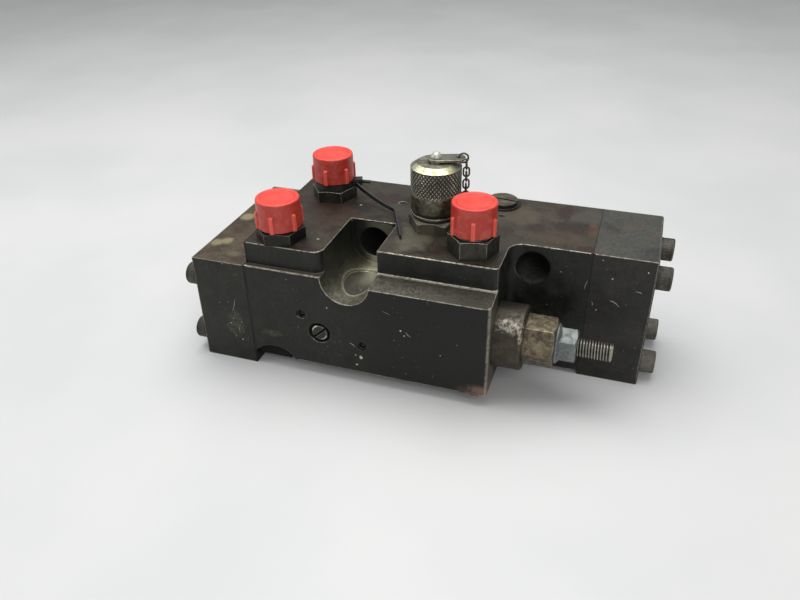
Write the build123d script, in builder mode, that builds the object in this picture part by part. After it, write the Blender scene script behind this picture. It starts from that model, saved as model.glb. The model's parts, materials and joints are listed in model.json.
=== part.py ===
from build123d import *
import math
import os

os.makedirs("parts", exist_ok=True)

# Hydraulic monoblock valve.
# Millimetres, +Z up. X runs along the main spool, -Y is the front (adjuster side) and +Y the rear
# mounting face. The origin is the centre of the footprint, on the surface that the end caps stand on.

# --- Casting and end caps ---------------------------------------------------------------------
overall_length = 250.0
depth = 102.0
platform_height = 79.5
cap_thickness = 33.5
left_cap_height = 66.5
body_bottom = 8.0
rear_bottom = 2.5
front_y = -depth / 2
rear_y = depth / 2
step_y = -5.5
body_end_x = overall_length / 2 - cap_thickness
cap_end_x = overall_length / 2
front_block_end_x = 48.0

left_ledge_height = 66.5
left_platform_y = front_y + 3.5
middle_ledge_back_height = 66.3
middle_ledge_front_height = 63.9
middle_platform_y = front_y + 14.6

# --- Mounting bolts and the access groove ---------------------------------------------------------
bolt_hole_radius = 9.25
bolt_height = 66.0
bolt_xs = (-32.0, 60.5)
bolt_chamfer = 0.6
groove_radius = 14.0
groove_back_y = -2.5
groove_mark_centre_y = -26.0
groove_mark_half_width = 9.3
groove_mark_half_length = 14.5
groove_mark_depth = 1.25

# --- Outer shape details ---------------------------------------------------------------------------
outer_corner_radius = 3.0
groove_corner_radius = 6.0
inner_corner_radius = 8.0
spot_face_radius = 18.4
relief_arc_radius = 16.0
relief_arc_x = -78.5
relief_arc_height = -1.2
relief_depth = 3.5
front_pad_bottom = 5.5
front_pad_end_x = -70.0
corner_foot_length = 18.0
corner_foot_depth = 12.0
corner_foot_bottom = 6.3
cap_edge = 0.7

# --- Running fits, thread fits and seals -----------------------------------------------------------
spool_clearance = 0.02
running_clearance = 0.05
thread_clearance = 0.05
seal_radius = 0.93
seal_depth = 1.9

# --- Main spool ------------------------------------------------------------------------------------
spool_y = 23.0
spool_z = 37.0
main_bore_radius = 11.0
spool_groove_radius = 15.0
spool_groove_width = 9.0
spool_groove_xs = (-64.0, -30.0, 3.0, 33.5, 66.0)
spool_neck_radius = 7.0
spool_neck_width = 16.0
spool_neck_xs = (-47.0, -13.5, 18.0, 50.0)
spool_overhang = 5.5
spool_stub_radius = 5.0
spool_stub_length = 8.0
spring_seat_thickness = 2.5
spring_seat_radius = 14.0
spring_pocket_radius = 14.5
spring_pocket_depth = 27.0
centring_spring_radius = 11.5
centring_spring_wire = 2.6
centring_spring_turns = 4.5

# --- End cap screws (M8) -----------------------------------------------------------------------------
screw_radius = 4.0
screw_hole_radius = 4.5
screw_head_radius = 6.5
screw_head_height = 8.0
screw_thread_depth = 12.0
screw_socket_flats = 6.0
screw_socket_depth = 4.0
right_screw_ys = (6.0, 40.0)
right_screw_zs = (9.5, 64.5)
left_screw_ys = (-42.5, -1.0, 42.5)
left_screw_zs = (12.5, 50.5)

# --- Port adapters: x, y, hexagon turn, hexagon height, cap bottom and cap top above the platform,
# and the angle of one rib of the cap ---------------------------------------------------------------
port_adapters = (
    ("1", -74.3, -35.7, 16.0, 7.0, 7.5, 24.1, 37.0),
    ("2", -67.0, 23.6, 8.0, 7.3, 11.4, 27.4, 30.5),
    ("3", 30.4, -20.5, 14.0, 10.9, 12.1, 28.9, 42.0),
)
port_hex_flats = 24.0
port_hex_corner_cut = 0.7
port_shank_radius = 9.0
port_shank_length = 12.0
port_collar_radius = 10.4
port_thread_radius = 9.525
port_bore_radius = 6.0
port_seal_ring_radius = 10.0
port_drill_radius = 4.0
cap_outer_radius = 12.15
cap_top_radius = 11.95
cap_top_wall = 1.8
cap_rib_count = 6
cap_rib_share = 0.58
cap_rib_width = 2.1
cap_rib_proud = 0.8

# --- Test coupling with its knurled cap, strap and chain -------------------------------------------
coupling_x = 3.0
coupling_y = 3.0
coupling_hex_flats = 27.0
coupling_hex_height = 7.0
coupling_hex_turn = 4.9
coupling_neck_radius = 11.0
coupling_neck_top = 11.0
coupling_thread_radius = 12.0
coupling_top = 33.0
coupling_shank_radius = 10.0
coupling_shank_length = 13.0
test_cap_radius = 14.0
test_cap_bottom = 11.0
test_cap_shoulder = 35.5
test_cap_top = 37.9
test_cap_top_radius = 10.5
test_cap_bore_top = 34.5
strap_bottom = 39.05
strap_thickness = 1.15
strap_width = 9.6
strap_turn = 18.7
strap_reach = 11.0
strap_eye_x = 12.0
strap_eye_radius = 1.5
rivet_radius = 2.0
rivet_head_radius = 3.15
rivet_head_height = 3.1
chain_wire = 1.0
chain_ring_radius = 2.6
chain_ring_x = 14.6
chain_line_x = 16.4
link_end_radius = 1.6
chain_slack = 1.8
ring_plate_bottom = 8.6
ring_plate_thickness = 1.0
ring_plate_radius = 13.6

# --- Pressure adjuster -----------------------------------------------------------------------------
relief_y = -28.3
relief_z = 35.2
relief_bore_radius = 8.0
relief_passage_radius = 4.5
relief_seat_start_x = -13.0
relief_seat_end_x = 1.0
sleeve_shank_radius = 15.0
sleeve_start_x = 36.0
sleeve_collar_radius = 18.0
sleeve_end_x = 63.4
sleeve_bore_radius = 11.05
housing_start_x = 41.0
housing_hex_flats = 24.0
housing_hex_turn = 26.0
housing_end_x = 79.8
housing_wall = 6.8
adjusting_radius = 5.0
adjusting_end_x = 109.3
nut_bore_radius = 5.06
nut_flange_radius = 10.9
nut_flange_thickness = 2.1
nut_hex_flats = 17.0
nut_hex_turn = 10.0
nut_end_x = 90.9
spring_seat_start_x = 59.0
spring_seat_end_x = 67.0
relief_spring_start_x = 21.0
relief_spring_radius = 5.2
relief_spring_wire = 2.2
relief_spring_turns = 9.0

# --- Throttle screw and gallery plugs on the front face --------------------------------------------
throttle_x = -48.7
throttle_z = 30.1
throttle_radius = 4.95
throttle_recess_radius = 6.6
throttle_recess_depth = 2.0
throttle_end_y = -38.5
gallery_plug_places = ((-59.2, 40.8), (-23.1, 26.4))
gallery_plug_radius = 3.0
gallery_plug_depth = 0.8

# --- Check valve under the slotted plug on the top ---------------------------------------------------
top_plug_x = 33.5
top_plug_y = 41.0
top_plug_radius = 9.0
top_plug_height = 2.4
top_plug_turn = -8.0
top_plug_thread_radius = 8.0
top_plug_thread_length = 12.0
check_ball_radius = 5.0
check_seat_radius = 4.0
check_seat_z = 52.0

# --- Rear mounting face -------------------------------------------------------------------------------
face_port_xs = (-60.0, 3.0)
face_port_radius = 7.0
face_seal_ring_radius = 10.0

# --- Cable tie round adapter 2 --------------------------------------------------------------------------
tie_inner_radius = 10.55
tie_band_thickness = 1.2
tie_band_width = 3.4
tie_bottom = 7.5
tie_head_turn = 20.0
tie_head_length = 5.6
tie_head_width = 5.2
tie_tail_width = 2.4
tie_tail_thickness = 1.1


def save(part, node):
    """Label a finished piece and write it as its own node."""
    part.label = node
    export_step(part, f"parts/{node}.step")


def across_y(y):
    """Sketch plane at y whose normal points to the front; local x is X and local y is Z."""
    return Plane.XZ.offset(-y)


def along_x(x, y=0.0, z=0.0):
    """Sketch plane at x whose normal points to +X, centred at (y, z)."""
    return Plane(origin=(x, y, z), x_dir=(0, 1, 0), z_dir=(1, 0, 0))


def half_profile_x(y, z):
    """Plane through an axis parallel to X at (y, z): local x is X, local y is the radius."""
    return Plane(origin=(0, y, z), x_dir=(1, 0, 0), z_dir=(0, -1, 0))


def half_profile_z(x, y):
    """Plane through a vertical axis at (x, y): local x is the radius, local y is Z."""
    return Plane(origin=(x, y, 0), x_dir=(1, 0, 0), z_dir=(0, -1, 0))


def half_profile_y(x, z):
    """Plane through an axis parallel to Y at (x, z): local x is the radius, local y is Y."""
    return Plane(origin=(x, 0, z), x_dir=(1, 0, 0), z_dir=(0, 0, 1))


def dome_arc(radius, low, height):
    """The half profile of a spherical dome, from its rim in to the axis; a negative height dips."""
    sphere = (radius**2 + height**2) / (2 * abs(height))
    middle = radius / 2
    rise = abs(height) - sphere + math.sqrt(sphere**2 - middle**2)
    rise = rise if height > 0 else -rise
    return ThreePointArc((radius, low), (middle, low + rise), (0, low + height))


def ring_part(plane, ring_radius, wire_radius):
    """A round ring whose centre line lies in the plane's XY."""
    with BuildPart() as ring:
        with BuildSketch(Plane(origin=plane.origin, x_dir=plane.x_dir, z_dir=-plane.y_dir)):
            with Locations((ring_radius, 0)):
                Circle(wire_radius)
        revolve(axis=Axis(plane.origin, plane.z_dir))
    return ring.part


def coil_spring(start, direction, length, mean_radius, wire, turns):
    """A round wire compression spring that stands on start and runs along direction."""
    with BuildPart() as spring:
        base = Vector(start) + Vector(direction) * (wire / 2)
        rise = length - wire
        with BuildLine() as path:
            Helix(rise / turns, rise, mean_radius, center=base, direction=direction)
        with BuildSketch(Plane(origin=path.line @ 0, z_dir=path.line % 0)):
            Circle(wire / 2)
        sweep(path=path.line, is_frenet=True)
    return spring.part


# ================================================================================================
# Valve body
# ================================================================================================

# Shallow milled mark in the floor of the access groove, an even skin deep all over.
with BuildPart() as groove_mark:
    with BuildSketch(Plane.XY.offset(body_bottom)):
        with Locations((bolt_xs[0], groove_mark_centre_y)):
            Ellipse(groove_mark_half_width, groove_mark_half_length)
    extrude(amount=bolt_height - body_bottom)
    with BuildSketch(across_y(0)):
        with Locations((bolt_xs[0], bolt_height)):
            Circle(groove_radius + groove_mark_depth)
    extrude(amount=depth, mode=Mode.INTERSECT)

with BuildPart() as valve_body:
    # Deep rear part.
    with BuildSketch(Plane.XY.offset(rear_bottom)):
        with Locations((0, (step_y + rear_y) / 2)):
            Rectangle(2 * body_end_x, rear_y - step_y)
    extrude(amount=platform_height - rear_bottom)

    # Pad under the front part at the left end, low enough to hold the end cap screws.
    front_pad_y = front_y + relief_depth
    with BuildSketch(Plane.XY.offset(front_pad_bottom)):
        with Locations(((front_pad_end_x - body_end_x) / 2, (front_pad_y + step_y) / 2)):
            Rectangle(front_pad_end_x + body_end_x, step_y - front_pad_y)
    extrude(amount=body_bottom - front_pad_bottom)

    # Front part left of the groove, with its narrow ledge.
    with BuildSketch(along_x(-body_end_x)):
        with BuildLine():
            Polyline(
                (step_y, body_bottom),
                (front_y, body_bottom),
                (front_y, left_ledge_height),
                (left_platform_y, left_ledge_height),
                (left_platform_y, platform_height),
                (step_y, platform_height),
                close=True,
            )
        make_face()
    extrude(amount=bolt_xs[0] + body_end_x)

    # Front part right of the groove, with its wide sloping ledge.
    with BuildSketch(along_x(bolt_xs[0])):
        with BuildLine():
            Polyline(
                (step_y, body_bottom),
                (front_y, body_bottom),
                (front_y, middle_ledge_front_height),
                (middle_platform_y, middle_ledge_back_height),
                (middle_platform_y, platform_height),
                (step_y, platform_height),
                close=True,
            )
        make_face()
    extrude(amount=front_block_end_x - bolt_xs[0])

    # Access groove for the left mounting bolt: a U as wide as the bolt head's tool, open at the top.
    with BuildSketch(across_y(groove_back_y)):
        with Locations((bolt_xs[0], bolt_height)):
            Circle(groove_radius)
        with Locations((bolt_xs[0], bolt_height + groove_radius)):
            Rectangle(2 * groove_radius, 2 * groove_radius)
    extrude(amount=groove_back_y - front_y, mode=Mode.SUBTRACT)

    # Rounded upright edges.
    groove_left_x = bolt_xs[0] - groove_radius

    def upright(x, y, low=0.0):
        """The upright edges of the body that stand at (x, y) and rise above low."""
        picked = valve_body.edges().filter_by(Axis.Z)
        return picked.filter_by(
            lambda e: abs(e.center().X - x) < 0.1 and abs(e.center().Y - y) < 0.1 and e.center().Z > low
        )

    fillet(upright(groove_left_x, left_platform_y), groove_corner_radius)
    fillet(upright(front_block_end_x, step_y), inner_corner_radius)
    fillet(upright(front_block_end_x, front_y), outer_corner_radius)
    fillet(upright(front_block_end_x, middle_platform_y), outer_corner_radius)

    # Spot face for the adjuster's collar, cut back into the rounded inner corner.
    with BuildSketch(along_x(front_block_end_x, relief_y, relief_z)):
        Circle(spot_face_radius)
    extrude(amount=body_end_x - front_block_end_x, mode=Mode.SUBTRACT)

    # Low rounded foot at the bottom right corner of the front part.
    with BuildSketch(across_y(front_y + corner_foot_depth)):
        with BuildLine():
            Polyline(
                (front_block_end_x - corner_foot_length, body_bottom + 0.5),
                (front_block_end_x - 8.0, corner_foot_bottom),
                (front_block_end_x - outer_corner_radius - 1.5, corner_foot_bottom),
                (front_block_end_x - outer_corner_radius, body_bottom + 0.5),
                close=True,
            )
        make_face()
    extrude(amount=corner_foot_depth)

    add(groove_mark.part, mode=Mode.SUBTRACT)

    # Cast relief under the front part, at the left end.
    with BuildSketch(across_y(front_y + relief_depth)):
        with Locations((relief_arc_x, relief_arc_height)):
            Circle(relief_arc_radius)
    extrude(amount=relief_depth, mode=Mode.SUBTRACT)

    # Mounting bolt holes.
    for bolt_x in bolt_xs:
        with BuildSketch(across_y(rear_y)):
            with Locations((bolt_x, bolt_height)):
                Circle(bolt_hole_radius)
        extrude(amount=rear_y - step_y + 3.0, mode=Mode.SUBTRACT)
    with BuildSketch(half_profile_y(bolt_xs[1], bolt_height)):
        with BuildLine():
            Polyline(
                (0, step_y),
                (bolt_hole_radius + bolt_chamfer, step_y),
                (bolt_hole_radius, step_y + bolt_chamfer),
                (0, step_y + bolt_chamfer),
                close=True,
            )
        make_face()
    revolve(axis=Axis((bolt_xs[1], 0, bolt_height), (0, 1, 0)), mode=Mode.SUBTRACT)

    # Main spool bore with its oil grooves.
    with BuildSketch(along_x(-body_end_x, spool_y, spool_z)):
        Circle(main_bore_radius)
    extrude(amount=2 * body_end_x, mode=Mode.SUBTRACT)
    for groove_x in spool_groove_xs:
        with BuildSketch(along_x(groove_x - spool_groove_width / 2, spool_y, spool_z)):
            Circle(spool_groove_radius)
        extrude(amount=spool_groove_width, mode=Mode.SUBTRACT)

    # Relief bore, its passage to the left face and the threaded mouth for the adjuster.
    with BuildSketch(along_x(-body_end_x, relief_y, relief_z)):
        Circle(relief_passage_radius)
    extrude(amount=body_end_x + relief_seat_start_x, mode=Mode.SUBTRACT)
    with BuildSketch(along_x(relief_seat_start_x, relief_y, relief_z)):
        Circle(relief_bore_radius)
    extrude(amount=sleeve_start_x - relief_seat_start_x, mode=Mode.SUBTRACT)
    with BuildSketch(along_x(sleeve_start_x, relief_y, relief_z)):
        Circle(sleeve_shank_radius + thread_clearance)
    extrude(amount=front_block_end_x - sleeve_start_x, mode=Mode.SUBTRACT)
    with BuildSketch(along_x(front_block_end_x - seal_depth, relief_y, relief_z)):
        Circle(sleeve_shank_radius + 2.0)
    extrude(amount=seal_depth, mode=Mode.SUBTRACT)

    # Threaded ports for the adapters, with a seal recess and a drilling to the bore below.
    for name, port_x, port_y, turn, hex_height, cap_low, cap_high, rib_angle in port_adapters:
        with BuildSketch(Plane.XY.offset(platform_height)):
            with Locations((port_x, port_y)):
                Circle(port_shank_radius + thread_clearance)
        extrude(amount=-port_shank_length - 1.0, mode=Mode.SUBTRACT)
        with BuildSketch(Plane.XY.offset(platform_height)):
            with Locations((port_x, port_y)):
                Circle(port_seal_ring_radius + 1.0)
        extrude(amount=-seal_depth, mode=Mode.SUBTRACT)
        with BuildSketch(Plane.XY.offset(platform_height)):
            with Locations((port_x, port_y)):
                Circle(port_drill_radius)
        extrude(amount=-(platform_height - relief_z), mode=Mode.SUBTRACT)

    # Test coupling port and its drilling to the main bore.
    with BuildSketch(Plane.XY.offset(platform_height)):
        with Locations((coupling_x, coupling_y)):
            Circle(coupling_shank_radius + thread_clearance)
    extrude(amount=-coupling_shank_length - 1.0, mode=Mode.SUBTRACT)
    with BuildSketch(Plane.XY.offset(platform_height)):
        with Locations((coupling_x, coupling_y)):
            Circle(coupling_shank_radius + 2.0)
    extrude(amount=-seal_depth, mode=Mode.SUBTRACT)
    with BuildSketch(Plane.XY.offset(spool_z)):
        with Locations((coupling_x, coupling_y)):
            Circle(3.0)
    extrude(amount=platform_height - spool_z, mode=Mode.SUBTRACT)

    # Rear face ports: a wide drilling to the main bore, a narrow one on to the front passages.
    for port_x in face_port_xs:
        with BuildSketch(across_y(rear_y)):
            with Locations((port_x, spool_z)):
                Circle(face_port_radius)
        extrude(amount=rear_y - spool_y, mode=Mode.SUBTRACT)
        with BuildSketch(across_y(rear_y)):
            with Locations((port_x, spool_z)):
                Circle(face_seal_ring_radius + 1.5)
                Circle(face_seal_ring_radius - 1.5, mode=Mode.SUBTRACT)
        extrude(amount=seal_depth, mode=Mode.SUBTRACT)
    with BuildSketch(across_y(spool_y)):
        with Locations((face_port_xs[0], spool_z)):
            Circle(3.5)
    extrude(amount=spool_y - relief_y, mode=Mode.SUBTRACT)
    with BuildSketch(across_y(spool_y)):
        with Locations((face_port_xs[1], spool_z)):
            Circle(3.0)
    extrude(amount=spool_y - coupling_y, mode=Mode.SUBTRACT)

    # Throttle screw: recess, thread and seat.
    with BuildSketch(half_profile_y(throttle_x, throttle_z)):
        with BuildLine():
            Polyline(
                (0, front_y),
                (throttle_recess_radius, front_y),
                (throttle_recess_radius, front_y + throttle_recess_depth),
                (throttle_radius + thread_clearance, front_y + throttle_recess_depth),
                (throttle_radius + thread_clearance, throttle_end_y + 1.5),
                (2.6, throttle_end_y + 1.5),
                (2.6, relief_y),
                (0, relief_y),
                close=True,
            )
        make_face()
    revolve(axis=Axis((throttle_x, 0, throttle_z), (0, 1, 0)), mode=Mode.SUBTRACT)

    # Drillings closed by the gallery plugs.
    for plug_x, plug_z in gallery_plug_places:
        with BuildSketch(across_y(relief_y - 3.0)):
            with Locations((plug_x, plug_z)):
                Circle(gallery_plug_radius)
        extrude(amount=relief_y - 3.0 - front_y, mode=Mode.SUBTRACT)

    # Check valve chamber, its seat and its drilling to the main bore's groove.
    with BuildSketch(half_profile_z(top_plug_x, top_plug_y)):
        with BuildLine():
            Polyline(
                (0, spool_z),
                (check_seat_radius, spool_z),
                (check_seat_radius, check_seat_z),
                (check_ball_radius + 1.0, check_seat_z),
                (check_ball_radius + 1.0, platform_height - top_plug_thread_length),
                (top_plug_thread_radius, platform_height - top_plug_thread_length),
                (top_plug_thread_radius, platform_height),
                (0, platform_height),
                close=True,
            )
        make_face()
    revolve(axis=Axis((top_plug_x, top_plug_y, 0), (0, 0, 1)), mode=Mode.SUBTRACT)

    # Tapped holes for the end cap screws.
    for side, screw_ys, screw_zs in ((1, right_screw_ys, right_screw_zs), (-1, left_screw_ys, left_screw_zs)):
        for screw_y in screw_ys:
            for screw_z in screw_zs:
                with BuildSketch(along_x(side * body_end_x, screw_y, screw_z)):
                    Circle(screw_radius + thread_clearance)
                extrude(amount=-side * (screw_thread_depth + 1.0), mode=Mode.SUBTRACT)
save(valve_body.part, "valve_body")


# ================================================================================================
# End caps, their screws and seals
# ================================================================================================


def end_cap(side, low_y, height, screw_ys, screw_zs, seal_places):
    """One end cap: a block with a spring pocket, seal grooves and screw holes."""
    inner_x = side * body_end_x
    with BuildPart() as cap:
        with BuildSketch(Plane.XY):
            with Locations((side * (body_end_x + cap_end_x) / 2, (low_y + rear_y) / 2)):
                Rectangle(cap_thickness, rear_y - low_y)
        extrude(amount=height)
        outer_face = cap.faces().filter_by(Axis.X).sort_by(Axis.X)[0 if side < 0 else -1]
        chamfer(outer_face.edges(), cap_edge)
        with BuildSketch(along_x(inner_x, spool_y, spool_z)):
            Circle(spring_pocket_radius)
        extrude(amount=side * spring_pocket_depth, mode=Mode.SUBTRACT)
        for seal_y, seal_z, ring_radius in seal_places:
            with BuildSketch(along_x(inner_x, seal_y, seal_z)):
                Circle(ring_radius + 1.5)
                Circle(ring_radius - 1.5, mode=Mode.SUBTRACT)
            extrude(amount=side * seal_depth, mode=Mode.SUBTRACT)
        for screw_y in screw_ys:
            for screw_z in screw_zs:
                with BuildSketch(along_x(inner_x, screw_y, screw_z)):
                    Circle(screw_hole_radius)
                extrude(amount=side * cap_thickness, mode=Mode.SUBTRACT)
    return cap.part


def cap_screws(side, screw_ys, screw_zs):
    """Socket head screws of one end cap, as separate solids of one group."""
    screws = []
    for screw_y in screw_ys:
        for screw_z in screw_zs:
            axis_at = (side * cap_end_x, screw_y, screw_z)
            with BuildPart() as screw:
                with BuildSketch(half_profile_x(screw_y, screw_z)):
                    with BuildLine():
                        Polyline(
                            (side * (body_end_x - screw_thread_depth), 0),
                            (side * (body_end_x - screw_thread_depth), screw_radius - 0.8),
                            (side * (body_end_x - screw_thread_depth + 0.8), screw_radius),
                            (side * cap_end_x, screw_radius),
                            (side * cap_end_x, screw_head_radius),
                            (side * (cap_end_x + screw_head_height - 0.6), screw_head_radius),
                            (side * (cap_end_x + screw_head_height), screw_head_radius - 0.6),
                            (side * (cap_end_x + screw_head_height), 0),
                            close=True,
                        )
                    make_face()
                revolve(axis=Axis(axis_at, (1, 0, 0)))
                socket_x = side * (cap_end_x + screw_head_height)
                with BuildSketch(along_x(socket_x, screw_y, screw_z)):
                    RegularPolygon(screw_socket_flats / 2, 6, major_radius=False)
                extrude(amount=-side * screw_socket_depth, mode=Mode.SUBTRACT)
            screws.append(screw.part)
    return Compound(children=screws)


spool_seal_ring = spring_pocket_radius + 2.5
passage_seal_ring = relief_passage_radius + 3.0
right_seals = ((spool_y, spool_z, spool_seal_ring),)
left_seals = ((spool_y, spool_z, spool_seal_ring), (relief_y, relief_z, passage_seal_ring))

save(end_cap(1, step_y, platform_height, right_screw_ys, right_screw_zs, right_seals), "right_end_cap")
save(end_cap(-1, front_y, left_cap_height, left_screw_ys, left_screw_zs, left_seals), "left_end_cap")
save(cap_screws(1, right_screw_ys, right_screw_zs), "right_cap_screws")
save(cap_screws(-1, left_screw_ys, left_screw_zs), "left_cap_screws")

for side, node, seal_places in ((1, "right_cap_seal", right_seals), (-1, "left_cap_seals", left_seals)):
    seal_x = side * (body_end_x + seal_depth / 2)
    rings = [ring_part(along_x(seal_x, y, z), radius, seal_radius) for y, z, radius in seal_places]
    save(Compound(children=rings) if len(rings) > 1 else rings[0], node)


# ================================================================================================
# Main spool, spring seats and centring springs
# ================================================================================================

spool_radius = main_bore_radius - spool_clearance
spool_end_x = body_end_x + spool_overhang
with BuildPart() as main_spool:
    with BuildSketch(along_x(-spool_end_x, spool_y, spool_z)):
        Circle(spool_radius)
    extrude(amount=2 * spool_end_x)
    chamfer(main_spool.edges().filter_by(GeomType.CIRCLE), 0.5)
    with BuildSketch(along_x(-spool_end_x - spool_stub_length, spool_y, spool_z)):
        Circle(spool_stub_radius)
    extrude(amount=2 * (spool_end_x + spool_stub_length))
    for neck_x in spool_neck_xs:
        with BuildSketch(along_x(neck_x - spool_neck_width / 2, spool_y, spool_z)):
            Circle(spool_radius + 1.0)
            Circle(spool_neck_radius, mode=Mode.SUBTRACT)
        extrude(amount=spool_neck_width, mode=Mode.SUBTRACT)
save(main_spool.part, "main_spool")

for side, place in ((1, "right"), (-1, "left")):
    with BuildPart() as spring_seat:
        with BuildSketch(along_x(side * spool_end_x, spool_y, spool_z)):
            Circle(spring_seat_radius)
            Circle(spool_stub_radius + running_clearance, mode=Mode.SUBTRACT)
        extrude(amount=side * spring_seat_thickness)
    save(spring_seat.part, f"{place}_spring_seat")

    seat_face_x = spool_end_x + spring_seat_thickness
    spring_length = body_end_x + spring_pocket_depth - seat_face_x
    centring_spring = coil_spring(
        (side * seat_face_x, spool_y, spool_z),
        (side, 0, 0),
        spring_length,
        centring_spring_radius,
        centring_spring_wire,
        centring_spring_turns,
    )
    save(centring_spring, f"{place}_centring_spring")


# ================================================================================================
# Port adapters and their plastic protection caps
# ================================================================================================


def hexagon_z(x, y, low, height, flats, turn, corner_cut):
    """An upright hexagon with its top corners turned off; turn is the angle of one corner."""
    corner_radius = flats / math.sqrt(3)
    with BuildPart() as hexagon:
        with BuildSketch(Plane.XY.offset(low)):
            with Locations((x, y)):
                RegularPolygon(corner_radius, 6, rotation=turn)
        extrude(amount=height)
        with BuildSketch(half_profile_z(x, y)):
            with BuildLine():
                Polyline(
                    (0, low),
                    (corner_radius + 0.1, low),
                    (corner_radius + 0.1, low + height - corner_cut),
                    (flats / 2 - 0.4, low + height),
                    (0, low + height),
                    close=True,
                )
            make_face()
        revolve(axis=Axis((x, y, 0), (0, 0, 1)), mode=Mode.INTERSECT)
    return hexagon.part


def port_adapter(x, y, turn, hex_height, cap_low, cap_high):
    """A threaded adapter: shank, hexagon, collar and a coned threaded nose, bored through."""
    base = platform_height
    nose_top = base + cap_high - cap_top_wall - 0.4
    hexagon = hexagon_z(x, y, base, hex_height, port_hex_flats, turn, port_hex_corner_cut)
    with BuildPart() as adapter:
        add(hexagon)
        with BuildSketch(half_profile_z(x, y)):
            with BuildLine():
                Polyline(
                    (0, base - port_shank_length),
                    (port_shank_radius - 0.8, base - port_shank_length),
                    (port_shank_radius, base - port_shank_length + 0.8),
                    (port_shank_radius, base),
                    (port_shank_radius, base + hex_height),
                    (port_collar_radius, base + hex_height),
                    (port_collar_radius, base + cap_low - 0.3),
                    (port_thread_radius, base + cap_low - 0.3),
                    (port_thread_radius, nose_top - 2.6),
                    (port_bore_radius + 1.2, nose_top),
                    (0, nose_top),
                    close=True,
                )
            make_face()
        revolve(axis=Axis((x, y, 0), (0, 0, 1)))
        with BuildSketch(Plane.XY.offset(nose_top)):
            with Locations((x, y)):
                Circle(port_bore_radius)
        extrude(amount=-(nose_top - base + port_shank_length), mode=Mode.SUBTRACT)
    return adapter.part


def port_cap(x, y, cap_low, cap_high, rib_angle):
    """A ribbed plastic cap, closed at the top, slipped over an adapter's nose."""
    low = platform_height + cap_low
    high = platform_height + cap_high
    bore = port_thread_radius + running_clearance + 0.025
    with BuildPart() as cap:
        with BuildSketch(half_profile_z(x, y)):
            with BuildLine():
                Polyline(
                    (0, low), (cap_outer_radius, low), (cap_top_radius, high), (0, high), close=True
                )
            make_face()
        revolve(axis=Axis((x, y, 0), (0, 0, 1)))
        fillet(cap.edges().filter_by(GeomType.CIRCLE).sort_by(Axis.Z)[-1], 0.9)
        with BuildSketch(Plane.XY.offset(low)):
            with Locations((x, y)):
                with PolarLocations(cap_outer_radius + cap_rib_proud - 1.0, cap_rib_count, start_angle=rib_angle):
                    Rectangle(2.0, cap_rib_width)
        extrude(amount=cap_rib_share * (high - low))
        with BuildSketch(Plane.XY.offset(low)):
            with Locations((x, y)):
                Circle(bore)
        extrude(amount=high - low - cap_top_wall, mode=Mode.SUBTRACT)
    return cap.part


port_seal_rings = []
for name, port_x, port_y, turn, hex_height, cap_low, cap_high, rib_angle in port_adapters:
    save(port_adapter(port_x, port_y, turn, hex_height, cap_low, cap_high), f"port_adapter_{name}")
    save(port_cap(port_x, port_y, cap_low, cap_high, rib_angle), f"port_cap_{name}")
    seal_plane = Plane(origin=(port_x, port_y, platform_height - seal_depth / 2))
    port_seal_rings.append(ring_part(seal_plane, port_seal_ring_radius, seal_radius))
save(Compound(children=port_seal_rings), "port_adapter_seals")


# ================================================================================================
# Test coupling
# ================================================================================================

coupling_axis = Axis((coupling_x, coupling_y, 0), (0, 0, 1))
coupling_base = platform_height
coupling_hexagon = hexagon_z(
    coupling_x, coupling_y, coupling_base, coupling_hex_height, coupling_hex_flats, coupling_hex_turn, 1.8
)
coupling_bore = 5.0
coupling_lip = 3.0
poppet_top = coupling_base + 30.0
poppet_shoulder = coupling_base + 26.0
poppet_spring_floor = coupling_base + 8.0

with BuildPart() as test_coupling_body:
    add(coupling_hexagon)
    with BuildSketch(half_profile_z(coupling_x, coupling_y)):
        with BuildLine():
            Polyline(
                (0, coupling_base - coupling_shank_length),
                (coupling_shank_radius - 1.0, coupling_base - coupling_shank_length),
                (coupling_shank_radius, coupling_base - coupling_shank_length + 1.0),
                (coupling_shank_radius, coupling_base + coupling_hex_height),
                (coupling_neck_radius, coupling_base + coupling_hex_height),
                (coupling_neck_radius, coupling_base + coupling_neck_top),
                (coupling_thread_radius, coupling_base + coupling_neck_top + 1.0),
                (coupling_thread_radius, coupling_base + coupling_top - 1.0),
                (coupling_thread_radius - 1.0, coupling_base + coupling_top),
                (0, coupling_base + coupling_top),
                close=True,
            )
        make_face()
    revolve(axis=coupling_axis)
    with BuildSketch(half_profile_z(coupling_x, coupling_y)):
        with BuildLine():
            Polyline(
                (0, coupling_base - coupling_shank_length),
                (coupling_lip, coupling_base - coupling_shank_length),
                (coupling_lip, poppet_spring_floor),
                (coupling_bore, poppet_spring_floor),
                (coupling_bore, poppet_top),
                (coupling_lip, poppet_top),
                (coupling_lip, coupling_base + coupling_top),
                (0, coupling_base + coupling_top),
                close=True,
            )
        make_face()
    revolve(axis=coupling_axis, mode=Mode.SUBTRACT)
save(test_coupling_body.part, "test_coupling_body")

coupling_seal_plane = Plane(origin=(coupling_x, coupling_y, platform_height - seal_depth / 2))
save(ring_part(coupling_seal_plane, coupling_shank_radius + 1.0, seal_radius), "test_coupling_seal")

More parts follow.
